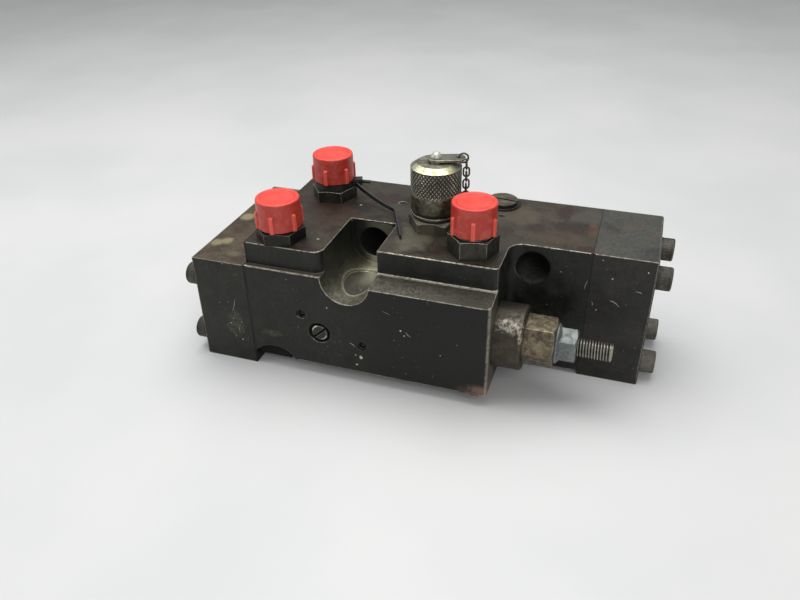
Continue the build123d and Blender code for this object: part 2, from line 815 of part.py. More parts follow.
with BuildPart() as test_poppet:
    with BuildSketch(half_profile_z(coupling_x, coupling_y)):
        with BuildLine():
            Polyline(
                (0, poppet_shoulder),
                (coupling_bore - running_clearance, poppet_shoulder),
                (coupling_bore - running_clearance, poppet_top - running_clearance),
                (coupling_lip - 2 * running_clearance, poppet_top - running_clearance),
                (coupling_lip - 2 * running_clearance, coupling_base + coupling_top - 1.2),
                (coupling_lip - 1.0, coupling_base + coupling_top - 0.4),
                (0, coupling_base + coupling_top - 0.4),
                close=True,
            )
        make_face()
    revolve(axis=coupling_axis)
save(test_poppet.part, "test_poppet")

save(
    coil_spring(
        (coupling_x, coupling_y, poppet_spring_floor),
        (0, 0, 1),
        poppet_shoulder - poppet_spring_floor,
        3.6,
        1.0,
        8.0,
    ),
    "test_poppet_spring",
)

# Knurled cap: a plain skirt and a knurled grip, bevelled towards its flat top.
with BuildPart() as test_cap:
    with BuildSketch(half_profile_z(coupling_x, coupling_y)):
        with BuildLine():
            Polyline(
                (coupling_thread_radius + 0.06, coupling_base + test_cap_bottom),
                (test_cap_radius - 0.5, coupling_base + test_cap_bottom),
                (test_cap_radius, coupling_base + test_cap_bottom + 0.5),
                (test_cap_radius, coupling_base + test_cap_shoulder),
                (test_cap_top_radius, coupling_base + test_cap_top),
                (rivet_radius, coupling_base + test_cap_top),
                (rivet_radius, coupling_base + test_cap_bore_top),
                (coupling_thread_radius + 0.06, coupling_base + test_cap_bore_top),
                close=True,
            )
        make_face()
    revolve(axis=coupling_axis)
save(test_cap.part, "test_cap")

strap_top = strap_bottom + strap_thickness
with BuildPart() as test_cap_rivet:
    with BuildSketch(half_profile_z(coupling_x, coupling_y)):
        with BuildLine():
            foot = Polyline(
                (0, coupling_base + test_cap_bore_top),
                (rivet_radius, coupling_base + test_cap_bore_top),
                (rivet_radius, coupling_base + test_cap_top),
                (3.2, coupling_base + test_cap_top),
                (3.2, coupling_base + strap_bottom - running_clearance),
                (rivet_radius, coupling_base + strap_bottom - running_clearance),
                (rivet_radius, coupling_base + strap_top + running_clearance),
                (rivet_head_radius, coupling_base + strap_top + running_clearance),
            )
            dome = dome_arc(rivet_head_radius, coupling_base + strap_top + running_clearance, rivet_head_height)
            Line(dome @ 1, foot @ 0)
        make_face()
    revolve(axis=coupling_axis)
save(test_cap_rivet.part, "test_cap_rivet")

# Everything on the strap and chain is laid out in a frame turned towards the chain.
strap_plane = Plane(origin=(coupling_x, coupling_y, coupling_base)).rotated((0, 0, strap_turn))

with BuildPart() as test_cap_strap:
    with BuildSketch(strap_plane.offset(strap_bottom)):
        with Locations((strap_reach / 2, 0)):
            SlotCenterToCenter(strap_reach, strap_width)
        Circle(rivet_radius + running_clearance, mode=Mode.SUBTRACT)
        with Locations((strap_eye_x, 0)):
            Circle(strap_eye_radius, mode=Mode.SUBTRACT)
    extrude(amount=strap_thickness)
save(test_cap_strap.part, "test_cap_strap")

with BuildPart() as chain_ring:
    with BuildSketch(strap_plane.offset(ring_plate_bottom)):
        Circle(ring_plate_radius)
        with Locations((ring_plate_radius - 0.7, 0)):
            SlotCenterToCenter(2.6, 5.0)
        Circle(coupling_neck_radius + 2 * running_clearance, mode=Mode.SUBTRACT)
        with Locations((chain_line_x - link_end_radius, 0)):
            Circle(1.1, mode=Mode.SUBTRACT)
    extrude(amount=ring_plate_thickness)
save(chain_ring.part, "chain_ring")


def chain_link(height, half_length, across):
    """One oval link centred at height on the chain's line; across turns it out of the strap's plane."""
    centre = strap_plane.from_local_coords(Vector(chain_line_x, 0, height))
    width_dir = strap_plane.y_dir if across else strap_plane.x_dir
    face = Plane(origin=centre, x_dir=width_dir, z_dir=width_dir.cross(strap_plane.z_dir))
    straight = half_length - link_end_radius
    with BuildPart() as link:
        with BuildLine(face) as oval:
            left = Line((-link_end_radius, -straight), (-link_end_radius, straight))
            top = ThreePointArc(left @ 1, (0, half_length), (link_end_radius, straight))
            right = Line(top @ 1, (link_end_radius, -straight))
            ThreePointArc(right @ 1, (0, -half_length), left @ 0)
        with BuildSketch(Plane(origin=oval.line @ 0, z_dir=oval.line % 0)):
            Circle(chain_wire / 2)
        sweep(path=oval.line)
    return link.part


# The chain hangs from a round link in the strap's eye down to the ring plate on the coupling's neck.
strap_middle = strap_bottom + strap_thickness / 2
ring_centre_z = strap_middle
ring_low_z = ring_centre_z - math.sqrt(chain_ring_radius**2 - (chain_line_x - chain_ring_x) ** 2)
first_top = ring_low_z + chain_wire + 0.06
last_bottom = ring_plate_bottom - chain_wire / 2 - 0.06
# Eight links share the height: four joints are taut and three are slack, and one link is a pitch and
# a wire long over its centre line.
link_pitch = (first_top - last_bottom + 3 * chain_slack - chain_wire) / 8
link_half = (link_pitch + chain_wire) / 2
link_steps = (0.0, chain_slack, 0.0, chain_slack, 0.0, chain_slack, 0.0)
link_heights = [first_top - link_half]
for slack in link_steps:
    link_heights.append(link_heights[-1] - link_pitch + slack)

top_ring_origin = strap_plane.from_local_coords(Vector(chain_ring_x, 0, ring_centre_z))
top_ring_plane = Plane(origin=top_ring_origin, x_dir=strap_plane.x_dir, z_dir=strap_plane.y_dir)
top_ring = ring_part(top_ring_plane, chain_ring_radius, chain_wire / 2)
links = [chain_link(height, link_half, number % 2 == 0) for number, height in enumerate(link_heights)]

save(Compound(children=[top_ring, links[0], links[1]]), "chain_links_top")
save(Compound(children=[links[2], links[3]]), "chain_links_upper")
save(Compound(children=[links[4], links[5]]), "chain_links_lower")
save(Compound(children=[links[6], links[7]]), "chain_links_bottom")


# ================================================================================================
# Pressure adjuster, from the collar outwards and then the parts inside
# ================================================================================================

relief_axis = Axis((0, relief_y, relief_z), (1, 0, 0))

with BuildPart() as adjuster_sleeve:
    with BuildSketch(half_profile_x(relief_y, relief_z)):
        with BuildLine():
            Polyline(
                (sleeve_start_x, sleeve_bore_radius),
                (sleeve_start_x, sleeve_shank_radius - 1.0),
                (sleeve_start_x + 1.0, sleeve_shank_radius),
                (front_block_end_x, sleeve_shank_radius),
                (front_block_end_x, sleeve_collar_radius),
                (sleeve_end_x - 0.9, sleeve_collar_radius),
                (sleeve_end_x, sleeve_collar_radius - 0.9),
                (sleeve_end_x, sleeve_bore_radius),
                close=True,
            )
        make_face()
    revolve(axis=relief_axis)
save(adjuster_sleeve.part, "adjuster_sleeve")

sleeve_seal_x = front_block_end_x - seal_depth / 2
sleeve_seal = ring_part(along_x(sleeve_seal_x, relief_y, relief_z), sleeve_shank_radius + 1.0, seal_radius)
save(sleeve_seal, "adjuster_sleeve_seal")


def hexagon_x(low_x, high_x, flats, turn, chamfer_low, chamfer_high):
    """A hexagon along X on the relief axis; turn tilts one flat up from the front."""
    corner_radius = flats / math.sqrt(3)
    cut = 1.2
    low_radius = flats / 2 - 0.3 if chamfer_low else corner_radius + 0.1
    high_radius = flats / 2 - 0.3 if chamfer_high else corner_radius + 0.1
    with BuildPart() as hexagon:
        with BuildSketch(along_x(low_x, relief_y, relief_z)):
            RegularPolygon(corner_radius, 6, rotation=30.0 - turn)
        extrude(amount=high_x - low_x)
        with BuildSketch(half_profile_x(relief_y, relief_z)):
            with BuildLine():
                Polyline(
                    (low_x, 0),
                    (low_x, low_radius),
                    (low_x + cut, corner_radius + 0.1),
                    (high_x - cut, corner_radius + 0.1),
                    (high_x, high_radius),
                    (high_x, 0),
                    close=True,
                )
            make_face()
        revolve(axis=relief_axis, mode=Mode.INTERSECT)
    return hexagon.part


housing_hexagon = hexagon_x(sleeve_end_x, housing_end_x, housing_hex_flats, housing_hex_turn, False, True)
with BuildPart() as adjuster_housing:
    add(housing_hexagon)
    with BuildSketch(along_x(housing_start_x, relief_y, relief_z)):
        Circle(sleeve_bore_radius - thread_clearance)
    extrude(amount=sleeve_end_x - housing_start_x)
    with BuildSketch(along_x(housing_start_x, relief_y, relief_z)):
        Circle(relief_bore_radius)
    extrude(amount=housing_end_x - housing_wall - housing_start_x, mode=Mode.SUBTRACT)
    with BuildSketch(along_x(housing_start_x, relief_y, relief_z)):
        Circle(nut_bore_radius)
    extrude(amount=housing_end_x - housing_start_x, mode=Mode.SUBTRACT)
save(adjuster_housing.part, "adjuster_housing")

nut_hexagon = hexagon_x(housing_end_x + nut_flange_thickness, nut_end_x, nut_hex_flats, nut_hex_turn, False, True)
with BuildPart() as lock_nut:
    add(nut_hexagon)
    with BuildSketch(half_profile_x(relief_y, relief_z)):
        with BuildLine():
            Polyline(
                (housing_end_x, 0),
                (housing_end_x, nut_flange_radius - 0.4),
                (housing_end_x + 0.4, nut_flange_radius),
                (housing_end_x + 1.1, nut_flange_radius),
                (housing_end_x + nut_flange_thickness + 0.9, nut_hex_flats / 2),
                (housing_end_x + nut_flange_thickness + 0.9, 0),
                close=True,
            )
        make_face()
    revolve(axis=relief_axis)
    with BuildSketch(along_x(housing_end_x, relief_y, relief_z)):
        Circle(nut_bore_radius)
    extrude(amount=nut_end_x - housing_end_x, mode=Mode.SUBTRACT)
save(lock_nut.part, "lock_nut")

with BuildPart() as adjusting_screw:
    with BuildSketch(half_profile_x(relief_y, relief_z)):
        with BuildLine():
            Polyline(
                (spring_seat_end_x + running_clearance, 0),
                (spring_seat_end_x + running_clearance, adjusting_radius - 1.0),
                (spring_seat_end_x + running_clearance + 1.0, adjusting_radius),
                (adjusting_end_x - 0.9, adjusting_radius),
                (adjusting_end_x, adjusting_radius - 0.9),
                (adjusting_end_x, 0),
                close=True,
            )
        make_face()
    revolve(axis=relief_axis)
save(adjusting_screw.part, "adjusting_screw")

seat_piston_radius = relief_bore_radius - running_clearance
seat_groove_x = spring_seat_start_x + 3.0
with BuildPart() as adjuster_spring_seat:
    with BuildSketch(half_profile_x(relief_y, relief_z)):
        with BuildLine():
            Polyline(
                (spring_seat_start_x - 4.0, 0),
                (spring_seat_start_x - 4.0, 3.2),
                (spring_seat_start_x, 3.8),
                (spring_seat_start_x, seat_piston_radius),
                (seat_groove_x, seat_piston_radius),
                (seat_groove_x, seat_piston_radius - 2 * seal_radius),
                (seat_groove_x + 2.2, seat_piston_radius - 2 * seal_radius),
                (seat_groove_x + 2.2, seat_piston_radius),
                (spring_seat_end_x, seat_piston_radius),
                (spring_seat_end_x, 0),
                close=True,
            )
        make_face()
    revolve(axis=relief_axis)
save(adjuster_spring_seat.part, "adjuster_spring_seat")

piston_seal_plane = along_x(seat_groove_x + 1.1, relief_y, relief_z)
piston_seal = ring_part(piston_seal_plane, seat_piston_radius - seal_radius, seal_radius)
save(piston_seal, "adjuster_seat_seal")

relief_spring = coil_spring(
    (relief_spring_start_x, relief_y, relief_z),
    (1, 0, 0),
    spring_seat_start_x - relief_spring_start_x,
    relief_spring_radius,
    relief_spring_wire,
    relief_spring_turns,
)
save(relief_spring, "relief_spring")

# Poppet: cone on the seat's edge, guided by its barrel, with three flats that let the oil pass.
with BuildPart() as relief_poppet:
    with BuildSketch(half_profile_x(relief_y, relief_z)):
        with BuildLine():
            Polyline(
                (relief_seat_end_x - 2.0, 0),
                (relief_seat_end_x - 2.0, relief_passage_radius - running_clearance - 1.0),
                (relief_seat_end_x, relief_passage_radius - running_clearance),
                (relief_seat_end_x + 4.0, relief_passage_radius - running_clearance + 2.0),
                (relief_seat_end_x + 4.0, relief_bore_radius - running_clearance),
                (relief_spring_start_x, relief_bore_radius - running_clearance),
                (relief_spring_start_x, 3.8),
                (relief_spring_start_x + 6.0, 3.2),
                (relief_spring_start_x + 6.0, 0),
                close=True,
            )
        make_face()
    revolve(axis=relief_axis)
    with BuildSketch(along_x(relief_seat_end_x + 4.0, relief_y, relief_z)):
        with PolarLocations(relief_bore_radius, 3):
            Rectangle(3.0, 12.0)
    extrude(amount=relief_spring_start_x - relief_seat_end_x - 4.0, mode=Mode.SUBTRACT)
save(relief_poppet.part, "relief_poppet")

with BuildPart() as relief_seat:
    with BuildSketch(along_x(relief_seat_start_x, relief_y, relief_z)):
        Circle(relief_bore_radius - spool_clearance)
        Circle(relief_passage_radius, mode=Mode.SUBTRACT)
    extrude(amount=relief_seat_end_x - relief_seat_start_x)
save(relief_seat.part, "relief_seat")


# ================================================================================================
# Front face: throttle screw, its seal and the gallery plugs
# ================================================================================================

throttle_axis = Axis((throttle_x, 0, throttle_z), (0, 1, 0))
throttle_groove_y = -43.0
throttle_seal_radius = 0.6
with BuildPart() as throttle_screw:
    with BuildSketch(half_profile_y(throttle_x, throttle_z)):
        with BuildLine():
            Polyline(
                (0, front_y),
                (throttle_radius - 0.7, front_y),
                (throttle_radius, front_y + 0.7),
                (throttle_radius, throttle_groove_y),
                (throttle_radius - 2 * throttle_seal_radius, throttle_groove_y),
                (throttle_radius - 2 * throttle_seal_radius, throttle_groove_y + 1.5),
                (throttle_radius, throttle_groove_y + 1.5),
                (throttle_radius, throttle_end_y - 1.0),
                (throttle_radius - 1.0, throttle_end_y),
                (2.0, throttle_end_y),
                (1.2, throttle_end_y + 4.5),
                (0, throttle_end_y + 4.5),
                close=True,
            )
        make_face()
    revolve(axis=throttle_axis)
    with BuildSketch(across_y(front_y)):
        with Locations(Location((throttle_x, throttle_z), 43.0)):
            Rectangle(2 * throttle_radius + 1.0, 1.5)
    extrude(amount=-1.8, mode=Mode.SUBTRACT)
save(throttle_screw.part, "throttle_screw")

throttle_seal_plane = Plane(
    origin=(throttle_x, throttle_groove_y + 0.75, throttle_z), x_dir=(1, 0, 0), z_dir=(0, 1, 0)
)
throttle_seal = ring_part(throttle_seal_plane, throttle_radius - throttle_seal_radius, throttle_seal_radius)
save(throttle_seal, "throttle_seal")

gallery_plugs = []
for plug_x, plug_z in gallery_plug_places:
    with BuildPart() as gallery_plug:
        with BuildSketch(half_profile_y(plug_x, plug_z)):
            with BuildLine():
                outline = Polyline(
                    (0, front_y + gallery_plug_depth + 4.5),
                    (gallery_plug_radius - 0.01, front_y + gallery_plug_depth + 4.5),
                    (gallery_plug_radius - 0.01, front_y + gallery_plug_depth),
                    (gallery_plug_radius - 0.8, front_y + gallery_plug_depth),
                    (gallery_plug_radius - 0.8, front_y + gallery_plug_depth + 1.2),
                )
                ball = dome_arc(gallery_plug_radius - 0.8, front_y + gallery_plug_depth + 1.2, -0.75)
                Line(ball @ 1, outline @ 0)
            make_face()
        revolve(axis=Axis((plug_x, 0, plug_z), (0, 1, 0)))
    gallery_plugs.append(gallery_plug.part)
save(Compound(children=gallery_plugs), "gallery_plugs")


# ================================================================================================
# Check valve and its slotted plug
# ================================================================================================

plug_axis = Axis((top_plug_x, top_plug_y, 0), (0, 0, 1))
plug_washer_height = 0.8
plug_low = platform_height - top_plug_thread_length
with BuildPart() as top_plug:
    with BuildSketch(half_profile_z(top_plug_x, top_plug_y)):
        with BuildLine():
            Polyline(
                (0, plug_low),
                (top_plug_thread_radius - thread_clearance, plug_low),
                (top_plug_thread_radius - thread_clearance, platform_height + plug_washer_height),
                (top_plug_radius, platform_height + plug_washer_height),
                (top_plug_radius, platform_height + plug_washer_height + top_plug_height - 0.5),
                (top_plug_radius - 0.5, platform_height + plug_washer_height + top_plug_height),
                (0, platform_height + plug_washer_height + top_plug_height),
                close=True,
            )
        make_face()
    revolve(axis=plug_axis)
    with BuildSketch(Plane.XY.offset(platform_height + plug_washer_height + top_plug_height)):
        with Locations(Location((top_plug_x, top_plug_y), top_plug_turn)):
            Rectangle(2 * top_plug_radius + 1.0, 1.6)
    extrude(amount=-1.5, mode=Mode.SUBTRACT)
save(top_plug.part, "top_plug")

with BuildPart() as top_plug_seal:
    with BuildSketch(Plane.XY.offset(platform_height)):
        with Locations((top_plug_x, top_plug_y)):
            Circle(top_plug_radius + 0.7)
            Circle(top_plug_thread_radius + 0.02, mode=Mode.SUBTRACT)
    extrude(amount=plug_washer_height)
save(top_plug_seal.part, "top_plug_seal")

ball_z = check_seat_z + math.sqrt(check_ball_radius**2 - check_seat_radius**2) + 0.02
with BuildPart() as check_ball:
    with Locations((top_plug_x, top_plug_y, ball_z)):
        Sphere(check_ball_radius)
save(check_ball.part, "check_ball")

check_spring_low = ball_z + check_ball_radius - 0.6
check_spring = coil_spring(
    (top_plug_x, top_plug_y, check_spring_low), (0, 0, 1), plug_low - check_spring_low, 3.2, 0.9, 4.0
)
save(check_spring, "check_spring")


# ================================================================================================
# Rear face seals
# ================================================================================================

face_seals = []
for port_x in face_port_xs:
    seal_plane = Plane(origin=(port_x, rear_y - seal_depth / 2, spool_z), x_dir=(1, 0, 0), z_dir=(0, 1, 0))
    face_seals.append(ring_part(seal_plane, face_seal_ring_radius, seal_radius))
save(Compound(children=face_seals), "rear_face_seals")


# ================================================================================================
# Cable tie round adapter 2
# ================================================================================================

tie_x, tie_y = port_adapters[1][1], port_adapters[1][2]
tie_plane = Plane(origin=(tie_x, tie_y, platform_height + tie_bottom)).rotated((0, 0, tie_head_turn))
with BuildPart() as cable_tie:
    with BuildSketch(tie_plane):
        Circle(tie_inner_radius + tie_band_thickness)
        Circle(tie_inner_radius, mode=Mode.SUBTRACT)
    extrude(amount=tie_band_width)
    # Square head on the band, and the cut end of the band that comes out of it.
    head_x = tie_inner_radius + tie_band_thickness + tie_head_length / 2 - 0.4
    with BuildSketch(tie_plane.offset(-0.2)):
        with Locations((head_x, 0)):
            Rectangle(tie_head_length, tie_head_width)
    extrude(amount=tie_band_width + 0.2)
    with BuildSketch(tie_plane.offset(tie_band_width / 2 - 0.9)):
        with Locations(Location((head_x + 5.0, -0.6), -14.0)):
            Rectangle(5.5, tie_tail_width)
    extrude(amount=tie_tail_thickness)
    # Flat tail: down to the top of the casting, bent, and along it.
    with BuildLine() as tail_line:
        Polyline(
            (-55.0, 26.8, platform_height + 8.6),
            (-49.3, 22.4, platform_height + 7.4),
            (-40.7, 18.0, platform_height + 5.0),
            (-32.3, 13.7, platform_height + 3.3),
            (-24.0, 10.1, platform_height + 2.1),
            (-22.3, 7.0, platform_height + 1.9),
            (-19.6, 1.1, platform_height + 1.7),
            (-10.3, -19.6, platform_height + 1.5),
        )
    with BuildSketch(Plane(origin=tail_line.line @ 0, x_dir=(0, 0, 1), z_dir=tail_line.line % 0)):
        Rectangle(tie_tail_width, tie_tail_thickness)
    sweep(path=tail_line.line, transition=Transition.RIGHT)
save(cable_tie.part, "cable_tie")
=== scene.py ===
import json
import math

import bmesh
import bpy
from mathutils import Matrix, Vector, noise


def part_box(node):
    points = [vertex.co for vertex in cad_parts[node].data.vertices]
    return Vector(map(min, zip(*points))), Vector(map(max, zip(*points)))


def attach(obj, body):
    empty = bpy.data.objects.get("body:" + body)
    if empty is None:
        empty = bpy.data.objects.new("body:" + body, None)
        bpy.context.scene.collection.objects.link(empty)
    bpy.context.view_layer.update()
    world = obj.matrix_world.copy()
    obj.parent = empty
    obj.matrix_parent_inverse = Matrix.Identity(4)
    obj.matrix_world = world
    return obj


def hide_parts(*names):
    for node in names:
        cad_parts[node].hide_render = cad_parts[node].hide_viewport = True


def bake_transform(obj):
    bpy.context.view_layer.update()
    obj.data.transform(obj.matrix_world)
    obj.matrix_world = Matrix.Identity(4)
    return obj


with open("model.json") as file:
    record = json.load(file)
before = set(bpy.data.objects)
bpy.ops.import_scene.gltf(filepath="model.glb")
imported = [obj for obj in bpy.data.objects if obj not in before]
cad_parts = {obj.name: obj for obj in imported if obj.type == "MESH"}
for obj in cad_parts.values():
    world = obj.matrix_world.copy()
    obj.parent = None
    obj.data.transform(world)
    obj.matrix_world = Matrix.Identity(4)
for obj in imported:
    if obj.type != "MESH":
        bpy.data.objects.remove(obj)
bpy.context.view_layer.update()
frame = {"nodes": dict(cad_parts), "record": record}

MM = 0.001
record = frame["record"]


def centre(node, axis):
    """Middle of a CAD node's box along one axis, in millimetres."""
    low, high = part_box(node)
    return (low[axis] + high[axis]) / 2 / MM


# Heights and places that the looks share with the CAD part, in millimetres.
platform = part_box("valve_body")[1].z / MM
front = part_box("valve_body")[0].y / MM
body_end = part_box("valve_body")[1].x / MM
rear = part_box("valve_body")[1].y / MM
rear_part_front = -5.5
bolt_height = 66.0
right_bolt_x = 60.5
groove_radius = 14.0
groove_back = -2.5
groove_low, groove_high = record["physics"]["openings"][0]["box_m"]
groove_x = (groove_low[0] + groove_high[0]) / 2 / MM
throttle_x, throttle_z = -48.7, 30.1
gallery_places = ((-59.2, 40.8), (-23.1, 26.4))
relief_arc_x, relief_arc_z = -78.5, -1.2
knurl_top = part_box("test_cap")[0].z / MM + 24.5
screw_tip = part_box("adjusting_screw")[1].x / MM
CAP_NUMBERS = ("1", "2", "3")


# ------------------------------------------------------------------------------------------------
# Shader building
# ------------------------------------------------------------------------------------------------


class Shade:
    """A small builder for one node material."""

    def __init__(self, name):
        self.material = bpy.data.materials.new(name)
        self.material.use_nodes = True
        self.nodes = self.material.node_tree.nodes
        self.links = self.material.node_tree.links
        self.nodes.clear()
        self.spot = self.add("ShaderNodeTexCoord").outputs["Object"]
        self.x, self.y, self.z = self.add("ShaderNodeSeparateXYZ", {0: self.spot}).outputs

    def add(self, kind, values=None, **attributes):
        node = self.nodes.new(kind)
        for key, value in attributes.items():
            setattr(node, key, value)
        for key, value in (values or {}).items():
            if isinstance(value, bpy.types.NodeSocket):
                self.links.new(value, node.inputs[key])
            else:
                node.inputs[key].default_value = value
        return node

    def math(self, operation, a, b=0.0, c=0.0, clamp=False):
        node = self.add("ShaderNodeMath", {0: a, 1: b, 2: c}, operation=operation, use_clamp=clamp)
        return node.outputs[0]

    def noise(self, scale, detail=3.0, rough=0.5, distortion=0.0, where=None):
        values = {"Vector": where or self.spot, "Scale": scale, "Detail": detail, "Roughness": rough,
                  "Distortion": distortion}
        return self.add("ShaderNodeTexNoise", values).outputs["Fac"]

    def band(self, value, low, high, to_low=0.0, to_high=1.0):
        """value mapped from low..high to to_low..to_high, clamped and eased."""
        values = {"Value": value, "From Min": low, "From Max": high, "To Min": to_low, "To Max": to_high}
        return self.add("ShaderNodeMapRange", values, interpolation_type="SMOOTHSTEP").outputs[0]

    def fade(self, value, low, high):
        """Mask that is 1 below low and 0 above high."""
        return self.band(value, low, high, 1.0, 0.0)

    def past(self, place, low, high, to_low=0.0, to_high=1.0):
        """band() for a coordinate or a length, with its limits in millimetres."""
        return self.band(place, low * MM, high * MM, to_low, to_high)

    def before(self, place, low, high):
        """fade() for a coordinate or a length, with its limits in millimetres."""
        return self.past(place, low, high, 1.0, 0.0)

    def near(self, value, middle, inner, outer):
        """Mask that is 1 within inner of a middle and 0 beyond outer, on either side."""
        return self.fade(self.math("ABSOLUTE", self.math("SUBTRACT", value, middle)), inner, outer)

    def weaken(self, value, mask, share=1.0):
        """value lowered by a share of itself where the mask is 1."""
        if share != 1.0:
            mask = self.math("MULTIPLY", mask, share)
        return self.math("MULTIPLY", value, self.math("SUBTRACT", 1.0, mask))

    def mix(self, factor, a, b, blend="MIX"):
        node = self.add("ShaderNodeMix", data_type="RGBA", blend_type=blend)
        sockets = {"Factor": node.inputs[0], "A": node.inputs[6], "B": node.inputs[7]}
        for key, value in (("Factor", factor), ("A", a), ("B", b)):
            if isinstance(value, bpy.types.NodeSocket):
                self.links.new(value, sockets[key])
            else:
                sockets[key].default_value = value
        return node.outputs[2]

    def mix_value(self, factor, a, b):
        node = self.add("ShaderNodeMix", {0: factor, 2: a, 3: b}, data_type="FLOAT")
        return node.outputs[0]

    def edges(self, radius=0.9, low=0.02, high=0.2):
        """(rounded normal, mask of the outer edges) for wear and soft edge highlights."""
        soft = self.add("ShaderNodeBevel", {"Radius": radius * MM}, samples=6).outputs[0]
        true = self.add("ShaderNodeNewGeometry").outputs["Normal"]
        dot = self.add("ShaderNodeVectorMath", {0: soft, 1: true}, operation="DOT_PRODUCT").outputs["Value"]
        return soft, self.band(self.math("SUBTRACT", 1.0, dot), low, high)

    def facing(self, axis):
        """Component of the true normal along X, Y or Z of the object."""
        normal = self.add("ShaderNodeTexCoord").outputs["Normal"]
        return self.add("ShaderNodeSeparateXYZ", {0: normal}).outputs[axis]

    def length(self, parts):
        """Root of the sum of squares of (coordinate, middle, reach), the last two in millimetres."""
        total = 0.0
        for value, middle, reach in parts:
            away = self.math("DIVIDE", self.math("SUBTRACT", value, middle * MM), reach * MM)
            total = self.math("ADD", self.math("MULTIPLY", away, away), total)
        return self.math("SQRT", total)

    def radial(self, axis, a, b):
        """Distance in millimetres from the line along an axis that passes (a, b) on the other two."""
        first, second = {"X": (self.y, self.z), "Y": (self.x, self.z), "Z": (self.x, self.y)}[axis]
        return self.length(((first, a, 1.0), (second, b, 1.0)))

    def patch(self, middle, reach, ragged=0.9, scale=110.0):
        """A soft ragged patch round a point; a reach of None leaves that axis free."""
        parts = zip((self.x, self.y, self.z), middle, reach)
        away = self.length([part for part in parts if part[2]])
        shift = self.math("MULTIPLY", self.math("SUBTRACT", self.noise(scale, 5, 0.62), 0.5), ragged * 2)
        return self.fade(self.math("ADD", away, shift), 0.45, 1.15)

    def both(self, *masks):
        """Masks multiplied together."""
        total = masks[0]
        for mask in masks[1:]:
            total = self.math("MULTIPLY", total, mask)
        return total

    def bump(self, height, distance, strength=1.0, normal=None):
        values = {"Height": height, "Distance": distance * MM, "Strength": strength}
        if normal is not None:
            values["Normal"] = normal
        return self.add("ShaderNodeBump", values).outputs[0]

    def finish(self, **values):
        keys = {name.replace("_", " ").title(): value for name, value in values.items()}
        keys = {key.replace("Ior", "IOR"): value for key, value in keys.items()}
        principled = self.add("ShaderNodeBsdfPrincipled", keys)
        self.add("ShaderNodeOutputMaterial", {"Surface": principled.outputs[0]})
        return self.material


def rgb(red, green, blue):
    """A colour given as it looks on a screen, 0 to 255."""
    def linear(value):
        value = value / 255
        return value / 12.92 if value <= 0.04045 else ((value + 0.055) / 1.055) ** 2.4
    return (linear(red), linear(green), linear(blue), 1.0)


def oily_iron(name, dark, light, tops, wear=1.0, marks=None):
    """Dark machined or cast iron: oily and mottled, browner on top, worn bright on its edges. tops holds
    the base, stain and blotch colours of faces that look up; marks adds what one piece has alone and
    returns the colour, the wear and the mask of painted shade in the holes, or None for a piece without any."""
    s = Shade(name)
    s.middle = s.noise(95, 6, 0.65, 0.3)
    s.fine = s.noise(620, 5, 0.6)
    s.up = s.band(s.facing("Z"), 0.35, 0.85)
    s.nicks = s.band(s.noise(420, 4, 0.7), 0.36, 0.57)
    colour = s.mix(s.band(s.middle, 0.36, 0.66), dark, light)
    top = s.mix(s.band(s.noise(60, 5, 0.6, 0.7), 0.44, 0.6), tops[0], tops[1])
    top = s.mix(s.band(s.noise(26, 4, 0.6, 0.8), 0.53, 0.66, 0.0, 0.85), top, tops[2])
    colour = s.mix(s.up, colour, top)
    pits = s.mix(0.5, dark, rgb(0, 0, 0))
    colour = s.mix(s.band(s.fine, 0.35, 0.72, 0.0, 0.45), colour, pits)
    soft, edge = s.edges(1.0, 0.012, 0.12)
    edge = s.both(edge, s.math("MULTIPLY_ADD", s.nicks, 0.75, 0.25), wear)
    flecks = s.both(s.band(s.noise(1050, 2, 0.4), 0.735, 0.79), s.band(s.noise(70, 2), 0.45, 0.62, 0.0, 0.7))
    # The joints between the body and its end caps are thin dark lines without wear.
    joint = s.math("ABSOLUTE", s.math("SUBTRACT", s.math("ABSOLUTE", s.x), body_end * MM))
    edge = s.math("MULTIPLY", edge, s.past(joint, 0.9, 1.4))
    hollow = None
    if marks:
        colour, edge, hollow = marks(s, colour, edge)
    bare = s.math("MAXIMUM", edge, flecks)
    # The left joint is the darker and wider one.
    seam = s.math("MULTIPLY", s.past(joint, 0.2, 0.6, 0.85, 0.0), s.past(s.x, -10, 10, 1.0, 0.25))
    wide = s.both(s.past(joint, 0.6, 1.2, 0.8, 0.0), s.before(s.x, -10, 10))
    colour = s.mix(s.math("MAXIMUM", seam, wide), colour, rgb(10, 10, 9))
    colour = s.mix(bare, colour, rgb(206, 201, 184))
    rough = s.mix_value(s.band(s.middle, 0.3, 0.7), 0.34, 0.58)
    height = s.math("ADD", s.math("MULTIPLY", s.noise(2300, 2, 0.5), 0.45), s.math("MULTIPLY", s.fine, 0.8))
    height = s.math("ADD", height, s.math("MULTIPLY", s.middle, 0.9))
    metallic = s.mix_value(bare, 0.3, 0.75)
    rough = s.mix_value(bare, rough, 0.38)
    if hollow:
        # Painted shade leaves the insides of holes nearly black, and they are made dull.
        colour = s.mix(hollow, colour, rgb(6, 6, 5))
        metallic = s.mix_value(hollow, metallic, 0.0)
        rough = s.mix_value(hollow, rough, 1.0)
    return s.finish(base_color=colour, metallic=metallic, specular_ior_level=0.4, roughness=rough,
                    normal=s.bump(height, 0.12, 0.75, soft))


def stained(s, colour, stains, where, ragged=0.9, scale=110.0):
    """Ragged stains seen from above: each has its middle, its reach, its tone and the tone's share."""
    for (x, y), (reach_x, reach_y), tone, share in stains:
        stain = s.both(where, s.patch((x, y, 0), (reach_x, reach_y, None), ragged, scale))
        colour = s.mix(s.math("MULTIPLY", stain, share), colour, tone)
    return colour


